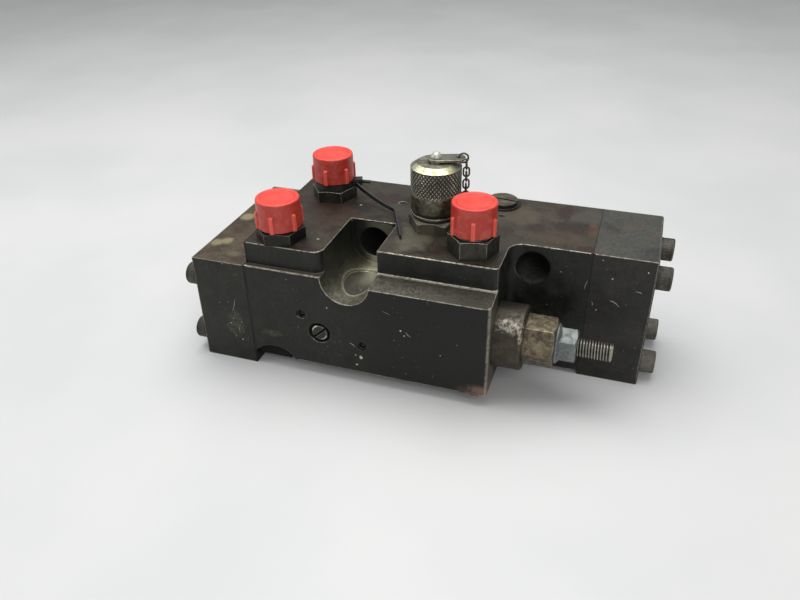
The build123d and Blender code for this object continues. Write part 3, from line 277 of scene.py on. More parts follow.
# Red-brown at the left, grey-green by the groove, brown towards the right; the small dark ones are dirt.
DECK_STAINS = (
    ((-62, 2), (20, 26), rgb(57, 42, 33), 0.7),
    ((-47, 14), (10, 6), rgb(38, 36, 32), 0.8),
    ((-3, -14), (11, 22), rgb(104, 101, 84), 0.8),
    ((44, 30), (22, 14), rgb(88, 78, 64), 0.7),
    ((70, 8), (22, 8), rgb(84, 66, 54), 0.45),
    ((88.5, 22), (3.5, 13), rgb(94, 64, 50), 0.45),
    ((36, 24.5), (2.4, 1.6), rgb(12, 12, 10), 0.95),
    ((-23.6, 24.6), (2.0, 1.8), rgb(14, 14, 12), 0.8),
    ((85, 38), (12, 12), rgb(84, 80, 72), 0.6),
    ((-78, 36), (12, 14), rgb(50, 44, 38), 0.8),
)

# Tan at the front and the far left, darker towards the back.
LEFT_CAP_STAINS = (
    ((-119.6, -31), (4.2, 4.6), rgb(144, 134, 100), 0.85),
    ((-115, -27.5), (4.6, 4.6), rgb(144, 134, 100), 0.85),
    ((-119, 5), (4.4, 6), rgb(150, 138, 106), 0.8),
    ((-103.5, -41), (5, 3.6), rgb(112, 104, 80), 0.6),
    ((-119, 24), (8, 9), rgb(98, 82, 60), 0.6),
    ((-106, 40), (12, 8), rgb(58, 46, 38), 0.7),
    ((-115, 52), (13, 5), rgb(132, 120, 90), 0.8),
    ((-99, -6), (5, 30), rgb(56, 50, 42), 0.8),
)

# Round holes and recesses seen from the front: x, z, the radius of the painted shade inside, and where it
# starts and ends in y.
RECESSES = (
    (groove_x, bolt_height, 9.3, groove_back - 0.2, rear - 0.6),
    (right_bolt_x, bolt_height, 9.95, rear_part_front - 0.2, rear - 0.6),
    (relief_arc_x, relief_arc_z, 16.2, front + 0.3, front + 4.0),
    (throttle_x, throttle_z, 6.75, front + 0.15, front + 16.0),
    *((x, z, 3.1, front + 0.15, front + 12.0) for x, z in gallery_places),
)


def groove_marks(s, colour, edge):
    """Inside of the access groove: lighter and greenish, with painted light on its floor towards the back
    right and low on its back wall, which is dark towards the top, and painted shade down its left side.
    """
    aside = s.math("ABSOLUTE", s.math("SUBTRACT", s.x, groove_x * MM))
    radius = s.radial("Y", groove_x, bolt_height)
    walled = s.both(s.before(s.y, groove_back + 0.1, groove_back + 0.3),
                    s.past(s.y, front + 0.2, front + 0.7),
                    s.before(aside, groove_radius + 0.2, groove_radius + 0.6), s.before(s.z, 78.4, 78.8))
    # Painted shade: the lighter tone is held back down the left side and near the top.
    inside = s.both(walled, s.past(s.z, 60, 69, 1.0, 0.15),
                    s.fade(radius, groove_radius + 1.6, groove_radius + 2.4),
                    s.past(s.math("MULTIPLY_ADD", s.y, -0.15, s.x), -42, -31, 0.12, 1.0))
    tone = s.mix(s.band(s.fine, 0.35, 0.7), rgb(80, 79, 66), rgb(124, 123, 104))
    # Painted light on the floor towards the back right.
    painted_light = s.both(s.past(s.y, -30, -15), s.past(s.x, -40, -31))
    tone = s.mix(painted_light, tone, rgb(216, 212, 182))
    colour = s.mix(s.math("MULTIPLY", inside, s.band(s.middle, 0.3, 0.6, 0.6, 1.0)), colour, tone)
    # Painted light low on the back wall, towards the right.
    back = s.both(s.past(s.y, groove_back - 0.6, groove_back - 0.2),
                  s.before(s.y, groove_back + 0.3, groove_back + 0.7),
                  walled, s.past(s.z, 54, 62, 0.9, 0.0), s.past(s.x, -36, -25))
    colour = s.mix(back, colour, rgb(120, 118, 100))
    # There is no wear where the groove meets its back wall.
    inner_end = s.both(s.past(s.y, groove_back - 5.0, groove_back - 3.0), s.before(s.z, 77.0, 77.8),
                       s.before(aside, groove_radius + 0.6, groove_radius + 1.0))
    return colour, s.weaken(edge, inner_end)


def recess_marks(s, edge):
    """Mask of the painted shade in the recesses' insides, and the wear without their rims."""
    hollow = 0.0
    for x, z, reach, start, end in RECESSES:
        away = s.radial("Y", x, z)
        deep = s.before(s.y, end, end + 0.2)
        inner = s.both(s.fade(away, reach, reach + 0.1), s.past(s.y, start, start + 0.2), deep)
        hollow = s.math("MAXIMUM", hollow, s.math("MULTIPLY", inner, 0.93))
        rim = s.both(s.fade(away, reach + 1.0, reach + 1.4), deep, s.past(s.y, start - 1.0, start - 0.8))
        edge = s.weaken(edge, rim, 0.92)
    return edge, hollow


def oval_marks(s, colour):
    """Shallow oval mark in the groove's floor: darker inside, most at the left, and a painted highlight on
    its rim that is brightest at its front right.
    """
    oval = s.length(((s.x, groove_x, 9.3), (s.y, -26.0, 14.5)))
    floor = s.before(s.z, 64, 66)
    dip = s.both(s.fade(oval, 0.93, 0.99), floor, s.past(s.x, -38, -24, 0.75, 0.2))
    colour = s.mix(dip, colour, rgb(44, 43, 37))
    # The rim's painted highlight is brightest at the front right.
    side = s.past(s.math("SUBTRACT", s.x, s.math("MULTIPLY", s.y, 0.8)), -24, 6, 0.25, 0.95)
    ring = s.both(s.near(oval, 1.03, 0.03, 0.085), floor, side, s.band(s.nicks, 0.0, 0.6, 0.6, 1.0))
    return s.mix(s.math("MULTIPLY", ring, 0.85), colour, rgb(168, 164, 142))


def ledge_marks(s, colour, edge, deck):
    """The sloping ledge to the right of the groove and the narrow one to its left."""
    low = s.before(s.z, 67.2, 67.8)
    ledge = s.both(s.up, low, s.past(s.x, -19.0, -17.5))
    tone = s.mix(s.band(s.fine, 0.35, 0.68), rgb(48, 46, 38), rgb(88, 86, 71))
    tone = s.mix(s.past(s.x, -10, 30, 0.0, 0.5), tone, rgb(52, 50, 42))
    colour = s.mix(s.math("MULTIPLY", ledge, 0.9), colour, tone)
    # The right ledge is worn where it meets the wall behind it, and so is that wall's top edge; these bright
    # lines are partly painted highlights.
    foot_line = s.both(ledge, s.past(s.y, -38.2, -37.4), s.band(s.nicks, 0.1, 0.7, 0.35, 1.0))
    edge = s.math("MAXIMUM", edge, foot_line)
    rim = s.both(s.up, deck, s.before(s.y, -35.9, -35.2), s.past(s.x, -18, -10))
    edge = s.math("MAXIMUM", edge, s.both(rim, s.band(s.nicks, 0.3, 0.9, 0.1, 0.9)))
    # The left ledge is rubbed bright along its front only, in a band that is partly a painted highlight.
    left = s.before(s.x, -44.5, -43.5)
    edge = s.weaken(edge, s.both(left, low, s.past(s.y, -49.8, -49.0)), 0.85)
    rub = s.both(s.up, low, left, s.past(s.y, -50.0, -49.3, 1.0, 0.08), s.band(s.nicks, 0.0, 0.8, 0.3, 1.0),
                 s.band(s.noise(75, 4, 0.6), 0.36, 0.52, 0.45, 1.0))
    return colour, s.math("MAXIMUM", edge, rub)


def front_part_marks(s, colour, edge):
    """Rubbed right corner, partly a painted highlight, and end; painted shade on the front face, with its
    smear; and the stained right foot.
    """
    # The right corner is rubbed bright, partly a painted highlight.
    corner = s.both(s.past(s.x, 46.2, 47.2), s.before(s.y, -49.4, -48.6))
    edge = s.math("MAXIMUM", edge, s.both(corner, s.band(s.nicks, 0.0, 0.9, 0.08, 0.34)))
    end = s.both(s.band(s.facing("X"), 0.5, 0.8), s.past(s.x, 47.0, 47.6), s.before(s.y, -35, -34))
    colour = s.mix(s.both(end, s.band(s.middle, 0.34, 0.58, 0.15, 0.5)), colour, rgb(112, 108, 92))
    # Painted shade makes the front face darkest from its middle to the right.
    front_face = s.before(s.y, front + 0.2, front + 0.6)
    painted_shade = s.both(front_face, s.past(s.x, -45, 0, 0.0, 0.62))
    colour = s.mix(painted_shade, colour, rgb(8, 8, 7))
    smear = s.both(s.patch((-79.2, 0, 23.6), (6.5, None, 2.4), 1.0, 220.0), front_face,
                   s.band(s.fine, 0.35, 0.6, 0.2, 0.7))
    colour = s.mix(smear, colour, rgb(78, 77, 58))
    foot = s.both(s.past(s.math("MULTIPLY_ADD", s.z, -1.4, s.x), 14, 26), s.before(s.z, 11.0, 16.5),
                  s.before(s.y, -40, -38), s.band(s.middle, 0.4, 0.6, 0.1, 0.9))
    return s.mix(foot, colour, rgb(122, 96, 84)), edge


def casting_marks(s, colour, edge):
    """The deck's stains, the groove, the recesses, the ledges and the front of the casting."""
    deck = s.past(s.z, platform - 1.5, platform - 0.7)
    on_deck = s.both(s.up, deck)
    colour = stained(s, colour, DECK_STAINS, on_deck)
    # Painted shade of a gap round the slotted plug.
    gap = s.radial("Z", centre("top_plug", 0), centre("top_plug", 1))
    gap = s.both(on_deck, s.band(gap, 9.6, 9.9), s.fade(gap, 10.9, 11.6))
    colour = s.mix(s.math("MULTIPLY", gap, 0.8), colour, rgb(12, 12, 10))
    colour, edge = groove_marks(s, colour, edge)
    edge, hollow = recess_marks(s, edge)
    colour = oval_marks(s, colour)
    colour, edge = ledge_marks(s, colour, edge, deck)
    colour, edge = front_part_marks(s, colour, edge)
    return colour, edge, hollow


def left_cap_marks(s, colour, edge):
    """Stains on the left cap's top, and a cluster of fine scratches and dirt on its front."""
    colour = stained(s, colour, LEFT_CAP_STAINS, s.up, 0.7, 150.0)
    forward = s.fade(s.facing("Y"), -0.9, -0.6)
    scuffed = s.both(forward, s.patch((-102, 0, 25), (6.5, None, 12), 1.0, 160.0),
                     s.band(s.noise(520, 5, 0.7, 0.4), 0.42, 0.6, 0.1, 0.6))
    return s.mix(scuffed, colour, rgb(88, 85, 68)), edge, None


def turned_steel(name, colour, second, rough=0.32, metallic=0.9, wear=0.8, edge_colour=None, grime=0.4,
                 grime_colour=None, bevel=0.45, grooves=None, marks=None, scale=160.0):
    """Plated or bare steel with mottling, grime in patches and brighter edges. grooves holds an axis, its
    two coordinates, the radii of the roots and tips and where they end; marks adds what one piece has."""
    s = Shade(name)
    mottle = s.noise(scale, 5, 0.6, 0.4)
    fine = s.noise(1500, 3, 0.5)
    dirt = s.band(s.noise(1.5 * scale, 5, 0.7, 0.8), 0.42, 0.66)
    tone = s.mix(s.band(mottle, 0.35, 0.65), colour, second)
    tone = s.mix(s.math("MULTIPLY", dirt, grime), tone, grime_colour or rgb(34, 31, 26))
    soft, edge = s.edges(bevel, 0.02, 0.16)
    edge = s.math("MULTIPLY", edge, s.band(s.noise(500, 3, 0.6), 0.3, 0.55, 0.35 * wear, wear), clamp=True)
    tone = s.mix(edge, tone, edge_colour or rgb(206, 202, 188))
    shine = s.mix_value(s.math("MULTIPLY", dirt, grime), metallic, 0.3)
    if grooves:
        axis, a, b, root, tip, end = grooves
        beyond = s.past({"X": s.x, "Z": s.z}[axis], end - 0.02, end + 0.02)
        tips = s.math("MAXIMUM", s.band(s.radial(axis, a, b), root, tip), beyond)
        # The grooves' roots are painted dark as shade, and their shine is lowered.
        tone = s.mix(tips, rgb(20, 19, 16), tone)
        shine = s.math("MULTIPLY", shine, s.band(tips, 0.0, 1.0, 0.3, 1.0))
    if marks:
        tone = marks(s, tone, mottle)
    roughness = s.mix_value(dirt, rough, min(rough + 0.25, 0.9))
    height = s.math("ADD", fine, s.math("MULTIPLY", mottle, 1.5))
    return s.finish(base_color=tone, metallic=shine, roughness=s.mix_value(edge, roughness, 0.28),
                    normal=s.bump(height, 0.05, 0.6, soft))


def red_plastic(name):
    """Translucent red protection cap: coral on top, cloudier down the wall and darker there with painted
    shade.
    """
    s = Shade(name)
    cloudy = s.noise(210, 4, 0.6, 0.6)
    fine = s.noise(1700, 3, 0.5)
    # The wall takes a darker tone than the top, as painted shade.
    wall = s.fade(s.facing("Z"), 0.25, 0.85)
    colour = s.mix(s.band(cloudy, 0.35, 0.7), rgb(222, 62, 50), rgb(232, 80, 66))
    body = s.mix(s.band(s.noise(150, 4, 0.6, 1.0), 0.38, 0.7), rgb(164, 40, 28), rgb(176, 74, 60))
    colour = s.mix(s.math("MULTIPLY", wall, 0.92), colour, body)
    rubbed = s.band(s.noise(420, 4, 0.7), 0.62, 0.72, 0.0, 0.35)
    colour = s.mix(rubbed, colour, rgb(226, 130, 118))
    # Distance from the nearest cap's axis: the ribs get a painted highlight, and the dish's rim is a darker
    # ring.
    away = 1000.0
    for number in CAP_NUMBERS:
        node = f"port_cap_{number}"
        away = s.math("MINIMUM", away, s.radial("Z", centre(node, 0), centre(node, 1)))
    colour = s.mix(s.math("MULTIPLY", s.band(away, 12.3, 12.75), 0.75), colour, rgb(230, 92, 76))
    dish = s.both(s.near(away, 9.4, 0.15, 0.55), s.band(s.facing("Z"), 0.6, 0.8, 0.0, 0.45))
    colour = s.mix(dish, colour, rgb(188, 40, 30))
    soft, edge = s.edges(0.5, 0.02, 0.3)
    colour = s.mix(s.math("MULTIPLY", edge, 0.45), colour, rgb(246, 116, 100))
    return s.finish(base_color=colour, roughness=s.mix_value(cloudy, 0.3, 0.48), subsurface_weight=0.2,
                    subsurface_radius=(0.0028, 0.0009, 0.0007), subsurface_scale=1.0, ior=1.5,
                    normal=s.bump(s.math("ADD", fine, cloudy), 0.05, 0.5, soft))


def soft_black(name, colour, second, rough):
    """Nylon or rubber: nearly black, with dust and a fine surface."""
    s = Shade(name)
    dust = s.band(s.noise(260, 4, 0.6), 0.4, 0.75)
    fine = s.noise(2200, 3, 0.6)
    tone = s.mix(s.math("MULTIPLY", dust, 0.6), colour, second)
    soft, edge = s.edges(0.3, 0.02, 0.3)
    tone = s.mix(s.math("MULTIPLY", edge, 0.4), tone, second)
    return s.finish(base_color=tone, roughness=s.mix_value(dust, rough, rough + 0.2),
                    normal=s.bump(fine, 0.04, 0.6, soft))


def adapter_marks(s, tone, mottle):
    """The adapter at the front left is oilier than the others."""
    oily = s.both(s.before(s.x, -52, -50), s.before(s.y, -12, -10))
    return s.mix(s.math("MULTIPLY", oily, s.band(mottle, 0.35, 0.6, 0.45, 0.65)), tone, rgb(14, 14, 12))


MATERIALS = {
    "cast_iron": oily_iron("cast_iron", rgb(26, 27, 24), rgb(43, 43, 38),
                           (rgb(67, 62, 50), rgb(57, 43, 34), rgb(34, 32, 28)), marks=casting_marks),
    "left_cap_iron": oily_iron("left_cap_iron", rgb(29, 30, 26), rgb(48, 47, 41),
                               (rgb(92, 80, 62), rgb(72, 58, 44), rgb(46, 42, 36)), 0.6, left_cap_marks),
    "right_cap_iron": oily_iron("right_cap_iron", rgb(34, 33, 30), rgb(52, 50, 46),
                                (rgb(76, 77, 71), rgb(84, 79, 71), rgb(58, 58, 55)), 0.75),
    "black_steel": turned_steel("black_steel", rgb(48, 46, 43), rgb(68, 65, 59), 0.42, 0.65, 0.6),
    "adapter_steel": turned_steel("adapter_steel", rgb(44, 43, 38), rgb(68, 66, 57), 0.38, 0.7, 1.0,
                                  bevel=0.6, marks=adapter_marks),
    "bronze_steel": turned_steel("bronze_steel", rgb(88, 78, 63), rgb(146, 134, 110), 0.36, 0.75, 0.55,
                                 rgb(206, 196, 168), 0.6, rgb(46, 39, 32), 0.6, scale=300.0),
    "zinc_steel": turned_steel("zinc_steel", rgb(104, 110, 108), rgb(126, 131, 128), 0.46, 0.6, 0.7,
                               rgb(196, 200, 196), 0.3),
    "chain_steel": turned_steel("chain_steel", rgb(92, 84, 70), rgb(128, 120, 104), 0.35, 0.8, 0.8,
                                rgb(214, 208, 190), 0.6, bevel=0.2),
    "bright_steel": turned_steel("bright_steel", rgb(150, 146, 134), rgb(178, 173, 160), 0.3, 0.9, 0.8,
                                 grime=0.35),
    "nickel": turned_steel("nickel", rgb(122, 119, 104), rgb(156, 153, 137), 0.32, 0.88, 1.0,
                           rgb(240, 236, 218), 0.6, rgb(44, 41, 34)),
    "spring_steel": turned_steel("spring_steel", rgb(110, 110, 112), rgb(140, 140, 142), 0.35, 0.9),
    "dark_washer": turned_steel("dark_washer", rgb(30, 28, 25), rgb(46, 42, 37), 0.5, 0.5, 0.3),
    "red_plastic": red_plastic("red_plastic"),
    "black_plastic": soft_black("black_plastic", rgb(22, 22, 22), rgb(52, 52, 50), 0.45),
    "seal_rubber": soft_black("seal_rubber", rgb(20, 20, 20), rgb(46, 45, 43), 0.5),
}

node_slot = {part["node"]: part["material_slot"] for part in record["subparts"]}
node_body = {node: body for body, nodes in record["behaviour"]["bodies"].items() for node in nodes}

# Every CAD node that stays in view takes its slot's material.
for node, shown in frame["nodes"].items():
    shown.data.materials.clear()
    shown.data.materials.append(MATERIALS[node_slot[node]])


def repaint(node, material):
    """Give one CAD node a material of its own."""
    frame["nodes"][node].data.materials[0] = material


def sleeve_marks(s, tone, mottle):
    """Silvery rub on the collar's upper front."""
    streaks = s.band(s.noise(520, 5, 0.7, 0.5), 0.40, 0.58)
    rub = s.patch((57.0, -39.8, 48.8), (8.5, 4.6, 4.6), 1.0, 320.0)
    rim = s.patch((62.5, -42.8, 45.0), (1.5, 5.0, 6.0), 0.8, 320.0)
    rub = s.both(s.math("MAXIMUM", rub, rim), streaks)
    return s.mix(s.math("MULTIPLY", rub, 0.75), tone, rgb(188, 180, 164))


def throttle_marks(s, tone, mottle):
    """Painted highlight on the rim of the screw's head at two sides, and painted shade in its slot."""
    x, z = centre("throttle_screw", 0), centre("throttle_screw", 2)
    rim = s.band(s.radial("Y", x, z), 3.7, 4.3)
    across = s.math("ADD", s.math("SUBTRACT", s.x, x * MM), s.math("SUBTRACT", s.z, z * MM))
    painted_light = s.past(s.math("ABSOLUTE", across), 1.8, 4.0, 1.0, 0.1)
    tone = s.mix(s.both(rim, painted_light), tone, rgb(206, 204, 190))
    # Painted shade in the slot.
    return s.mix(s.past(s.y, front + 0.25, front + 0.5), tone, rgb(12, 12, 11))


def gallery_marks(s, tone, mottle):
    """Painted shade on the sunken ring round each gallery plug's ball."""
    sunken_shade = s.past(s.y, front + 0.7, front + 1.6)
    return s.mix(s.math("MULTIPLY", sunken_shade, 0.8), tone, rgb(16, 16, 14))


def screw_marks(s, tone, mottle):
    """Painted light on the two lower screws of the right end cap."""
    low = s.both(s.before(s.z, 20, 22), s.past(s.x, 100, 110))
    return s.mix(s.math("MULTIPLY", low, s.band(mottle, 0.35, 0.6, 0.5, 1.0)), tone, rgb(106, 103, 93))


def plug_marks(s, tone, mottle):
    """Lighter top, and painted shade on its slot and wall."""
    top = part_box("top_plug")[1].z / MM
    up = s.both(s.band(s.facing("Z"), 0.5, 0.9), s.past(s.z, top - 0.4, top - 0.2))
    bright = s.mix(s.band(mottle, 0.35, 0.6), rgb(62, 57, 47), rgb(100, 93, 78))
    # Painted shade darkens all but the top.
    return s.mix(up, s.mix(0.6, tone, rgb(14, 14, 12)), bright)


def cap_skirt_marks(s, tone, mottle):
    """Darker plain skirt under the knurl, a dull flat top and a painted highlight on the front of the bevel
    round it.
    """
    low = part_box("test_cap")[0].z / MM
    skirt = s.mix(s.band(s.noise(330, 5, 0.7), 0.4, 0.62), rgb(68, 66, 55), rgb(120, 118, 98))
    tone = s.mix(s.past(s.z, low + 9.0, low + 11.2, 0.85, 0.0), tone, skirt)
    above = s.past(s.z, knurl_top + 0.05, knurl_top + 0.15)
    flat = s.band(s.facing("Z"), 0.9, 0.97)
    tone = s.mix(above, tone, s.mix(s.band(mottle, 0.35, 0.62), rgb(104, 103, 88), rgb(148, 147, 130)))
    painted_bevel_highlight = s.weaken(s.both(above, s.band(s.facing("Y"), -0.22, -0.30)), flat)
    return s.mix(painted_bevel_highlight, tone, s.mix(s.band(mottle, 0.5, 0.66), rgb(214, 214, 180), rgb(170, 166, 124)))


repaint("adjuster_sleeve", turned_steel("collar_steel", rgb(58, 54, 46), rgb(76, 70, 59), 0.42, 0.7, 0.55,
                                        grime_colour=rgb(36, 32, 27), marks=sleeve_marks))
repaint("throttle_screw", turned_steel("slotted_screw", rgb(40, 40, 37), rgb(56, 55, 50), 0.4, 0.6, 0.5,
                                       marks=throttle_marks))
repaint("gallery_plugs", turned_steel("gallery_steel", rgb(30, 30, 27), rgb(48, 47, 42), 0.45, 0.5, 0.15,
                                      marks=gallery_marks))
repaint("top_plug", turned_steel("top_plug_steel", rgb(56, 54, 48), rgb(78, 75, 66), 0.4, 0.6, 0.6,
                                 marks=plug_marks))
repaint("test_coupling_body", turned_steel("coupling_steel", rgb(84, 82, 67), rgb(116, 113, 94), 0.4, 0.65,
                                           1.0, bevel=0.6))
SCREWS = turned_steel("screw_steel", rgb(54, 52, 48), rgb(76, 73, 66), 0.4, 0.65, 0.6, marks=screw_marks)
repaint("test_cap_rivet", turned_steel("rivet_steel", rgb(196, 194, 184), rgb(222, 220, 210), 0.3, 0.75, 0.6,
                                       grime=0.25))
KNURL = turned_steel("knurled_nickel", rgb(112, 109, 95), rgb(146, 143, 127), 0.3, 0.85, 0.8,
                     rgb(236, 232, 212), 0.5, rgb(48, 44, 36), 0.3,
                     ("Z", centre("test_cap", 0), centre("test_cap", 1), 13.25, 13.85, knurl_top),
                     cap_skirt_marks)
THREAD = turned_steel("thread_steel", rgb(150, 146, 134), rgb(182, 178, 166), 0.3, 0.9, 0.8,
                      grime=0.35, bevel=0.2,
                      grooves=("X", centre("adjusting_screw", 1), centre("adjusting_screw", 2), 4.25, 4.9,
                               screw_tip - 0.3))


# ------------------------------------------------------------------------------------------------
# Mesh building
# ------------------------------------------------------------------------------------------------

ALONG_X = Matrix(((0, 0, 1, 0), (1, 0, 0, 0), (0, 1, 0, 0), (0, 0, 0, 1)))
AGAINST_X = Matrix(((0, 0, -1, 0), (-1, 0, 0, 0), (0, 1, 0, 0), (0, 0, 0, 1)))


def make(name, verts, faces, node, added=False, sharp=32.0, material=None):
    """A piece from vertices in millimetres that rides on a CAD node's body and replaces the node, unless
    it is added to it."""
    mesh = bpy.data.meshes.new(name)
    mesh.from_pydata([Vector(v) * MM for v in verts], [], faces)
    cleaned = bmesh.new()
    cleaned.from_mesh(mesh)
    bmesh.ops.remove_doubles(cleaned, verts=cleaned.verts, dist=1e-7)
    bmesh.ops.dissolve_degenerate(cleaned, edges=cleaned.edges, dist=1e-7)
    bmesh.ops.recalc_face_normals(cleaned, faces=cleaned.faces)
    cleaned.to_mesh(mesh)
    cleaned.free()
    mesh.materials.append(material or MATERIALS[node_slot[node]])
    mesh.shade_smooth()
    mesh.set_sharp_from_angle(angle=math.radians(sharp))
    piece = bpy.data.objects.new(name, mesh)
    bpy.context.scene.collection.objects.link(piece)
    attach(piece, node_body[node])
    if not added:
        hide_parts(node)
    return piece


def lathe(place, rings, segments):
    """(vertices, faces) of a skin round an axis. A ring is (height, radius), the radius a number or a
    function of the angle and height; place puts local z on the axis."""
    verts, faces = [], []
    for height, radius in rings:
        for step in range(segments):
            angle = 2 * math.pi * step / segments
            r = radius(angle, height) if callable(radius) else radius
            verts.append(place @ Vector((r * math.cos(angle), r * math.sin(angle), height)))
    for ring in range(len(rings) - 1):
        for step in range(segments):
            a = ring * segments + step
            b = ring * segments + (step + 1) % segments
            faces.append((a, b, b + segments, a + segments))
    return verts, faces


def joined(*shells):
    """Several (vertices, faces) as one."""
    verts, faces = [], []
    for more_verts, more_faces in shells:
        faces += [tuple(index + len(verts) for index in face) for face in more_faces]
        verts += more_verts
    return verts, faces


def upright_at(x, y):
    return Matrix.Translation((x, y, 0))


def hexagon(flats, corner):
    """Radius of a hexagon across flats with one corner at that angle."""
    def radius(angle, height=0.0):
        turn = (angle - corner) % (math.pi / 3) - math.pi / 6
        return flats / 2 / math.cos(turn)
    return radius


def stack(low, high, count):
    """Evenly spaced values from low to high, both included."""
    return [low + (high - low) * step / count for step in range(count + 1)]


def ramp(value, length):
    """value over a length, held between 0 and 1."""
    return min(max(value / length, 0.0), 1.0)


# ------------------------------------------------------------------------------------------------
# Red protection caps
# ------------------------------------------------------------------------------------------------


def port_cap(number, rib_angle):
    """A cap with six ribs, a rounded rim and a shallow dish, hollow from below."""
    node = f"port_cap_{number}"
    low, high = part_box(node)[0].z / MM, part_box(node)[1].z / MM
    place = upright_at(centre(node, 0), centre(node, 1))
    foot, top, rim, top_wall = 12.1, 11.95, 0.9, 1.8
    rib_width, rib_height = 2.6, 1.05
    rib_top = low + (high - low) * 0.58

    def wall(angle, height):
        base = foot + (top - foot) * (height - low) / (high - low)
        away = abs((angle - rib_angle + math.pi / 6) % (math.pi / 3) - math.pi / 6) * base
        side = ramp(rib_width / 2 - away, 0.4)
        end = ramp(rib_top - height, 0.9)
        return base + rib_height * side * side * (3 - 2 * side) * math.sqrt(end * (2 - end))

    rings = [(high - top_wall, 0.0), (high - top_wall, 9.65), (low + 2.0, 9.7), (low, 9.9), (low, 11.3)]
    rings += [(low + 0.12, lambda angle, height: wall(angle, low) - 0.18)]
    rings += [(height, wall) for height in stack(low + 0.35, high - rim, 34)]
    for around in stack(0.0, math.pi / 2, 6)[1:]:
        rings.append((high - rim + rim * math.sin(around), top - rim + rim * math.cos(around)))
    rings += [(high - 0.03, 10.2), (high - 0.3, 9.6), (high - 0.36, 9.0), (high - 0.36, 5.0)]
    rings += [(high - 0.3, 0.0)]
    make(f"cap_skin_{number}", *lathe(place, rings, 288), node, sharp=50)


for number, rib_angle in zip(CAP_NUMBERS, (37.0, 30.5, 42.0)):
    port_cap(number, math.radians(rib_angle))


# ------------------------------------------------------------------------------------------------
# Knurled cap of the test coupling
# ------------------------------------------------------------------------------------------------


def knurled_cap():
    """The cap with a diamond knurl cut as two crossing sets of grooves."""
    node = "test_cap"
    low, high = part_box(node)[0].z / MM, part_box(node)[1].z / MM
    place = upright_at(centre(node, 0), centre(node, 1))
    radius, knurl_low = 14.0, low + 9.4
    teeth, pitch, depth = 40, 2.7, 0.72

    def knurl(angle, height):
        along = height / pitch
        around = angle * teeth / (2 * math.pi)
        one = abs((along + around) % 1.0 - 0.5) * 2
        other = abs((along - around) % 1.0 - 0.5) * 2
        ease = ramp(height - knurl_low, 1.8) * ramp(knurl_top - height, 0.5)
        return radius - depth * ease * ramp(max(one, other) - 0.18, 0.82)

    # The profile closes on itself: up the bore, down the outside and back through the rivet's hole.
    bore_top, rivet_hole = low + 23.5, 2.0
    rings = [(bore_top, rivet_hole), (bore_top, 12.1), (low + 3.0, 12.3), (low, 12.4), (low, 13.4)]
    rings += [(low + 0.5, 13.9), (low + 0.9, radius)]
    rings += [(height, radius) for height in stack(low + 2.0, knurl_low - 0.6, 3)]
    rings += [(height, knurl) for height in stack(knurl_low, knurl_top, 96)]
    rings += [(knurl_top + 0.1, 13.82), (high - 0.35, 10.9), (high - 0.08, 10.55), (high, 10.2)]
    rings += [(high, rivet_hole), (bore_top, rivet_hole)]
    make("knurled_cap", *lathe(place, rings, teeth * 12), node, sharp=24, material=KNURL)


knurled_cap()


# ------------------------------------------------------------------------------------------------
# Threads, hexagons and screws
# ------------------------------------------------------------------------------------------------


def thread(radius, depth, pitch, start, end, runout):
    """Rings of a single thread between two heights, run out at both ends."""
    steps_per_turn = 10

    def crest(angle, height):
        phase = (height / pitch - angle / (2 * math.pi)) % 1.0
        tooth = ramp(1 - abs(phase - 0.5) * 2 - 0.1, 0.75)
        return radius - depth * (1 - tooth) * ramp(height - start, runout) * ramp(end - height, runout)

    return [(height, crest) for height in stack(start, end, int((end - start) / pitch * steps_per_turn))]


def adjusting_screw():
    """The screw, with a real thread where it stands out of the adjuster's housing."""
    node = "adjusting_screw"
    low, radius, thread_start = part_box(node)[0].x / MM, 5.0, 80.0
    place = Matrix.Translation((0, centre(node, 1), centre(node, 2))) @ ALONG_X
    rings = [(low, 0.0), (low, radius - 1.0), (low + 1.0, radius), (thread_start - 1.0, radius)]
    rings += thread(radius, 0.82, 1.5, thread_start, screw_tip - 0.55, 0.8)
    rings += [(screw_tip - 0.25, 4.35), (screw_tip, 3.95), (screw_tip, 0.0)]
    make("threaded_screw", *lathe(place, rings, 64), node, sharp=45, material=THREAD)


adjusting_screw()


def socket_screw(side, y, z, tip):
    """(vertices, faces) of one socket head cap screw with a knurled head; tip is its shank's inner end."""
    place = Matrix.Translation((0, y, z)) @ (ALONG_X if side > 0 else AGAINST_X)
    shank, head, head_height, teeth = 4.0, 6.5, 8.0, 40
    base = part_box("right_end_cap")[1].x / MM
    top = base + head_height
    socket = hexagon(6.0, math.radians(11 * (y + z)))

    def grip(angle, height):
        ease = ramp(height - base - 0.9, 0.5) * ramp(top - 0.9 - height, 0.4)
        return head - 0.22 * ease * (0.5 + 0.5 * math.cos(teeth * angle))

    rings = [(tip, 0.0), (tip, shank - 0.6), (tip + 0.6, shank), (base, shank)]
    rings += [(base, head - 0.3), (base + 0.3, head - 0.05)]
    rings += [(height, grip) for height in stack(base + 0.8, top - 0.7, 9)]
    rings += [(top - 0.25, head - 0.3), (top, head - 0.8), (top, 3.75)]
    rings += [(top - 0.35, socket), (top - 4.0, socket), (top - 4.6, 0.0)]
    return lathe(place, rings, teeth * 6)


for node, side, screw_ys, screw_zs in (
    ("right_cap_screws", 1, (6.0, 40.0), (9.5, 64.5)),
    ("left_cap_screws", -1, (-42.5, -1.0, 42.5), (12.5, 50.5)),
):
    inner_end = min(abs(corner.x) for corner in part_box(node)) / MM
    shells = [socket_screw(side, y, z, inner_end) for y in screw_ys for z in screw_zs]
    make(f"{node}_skin", *joined(*shells), node, sharp=28, material=SCREWS)
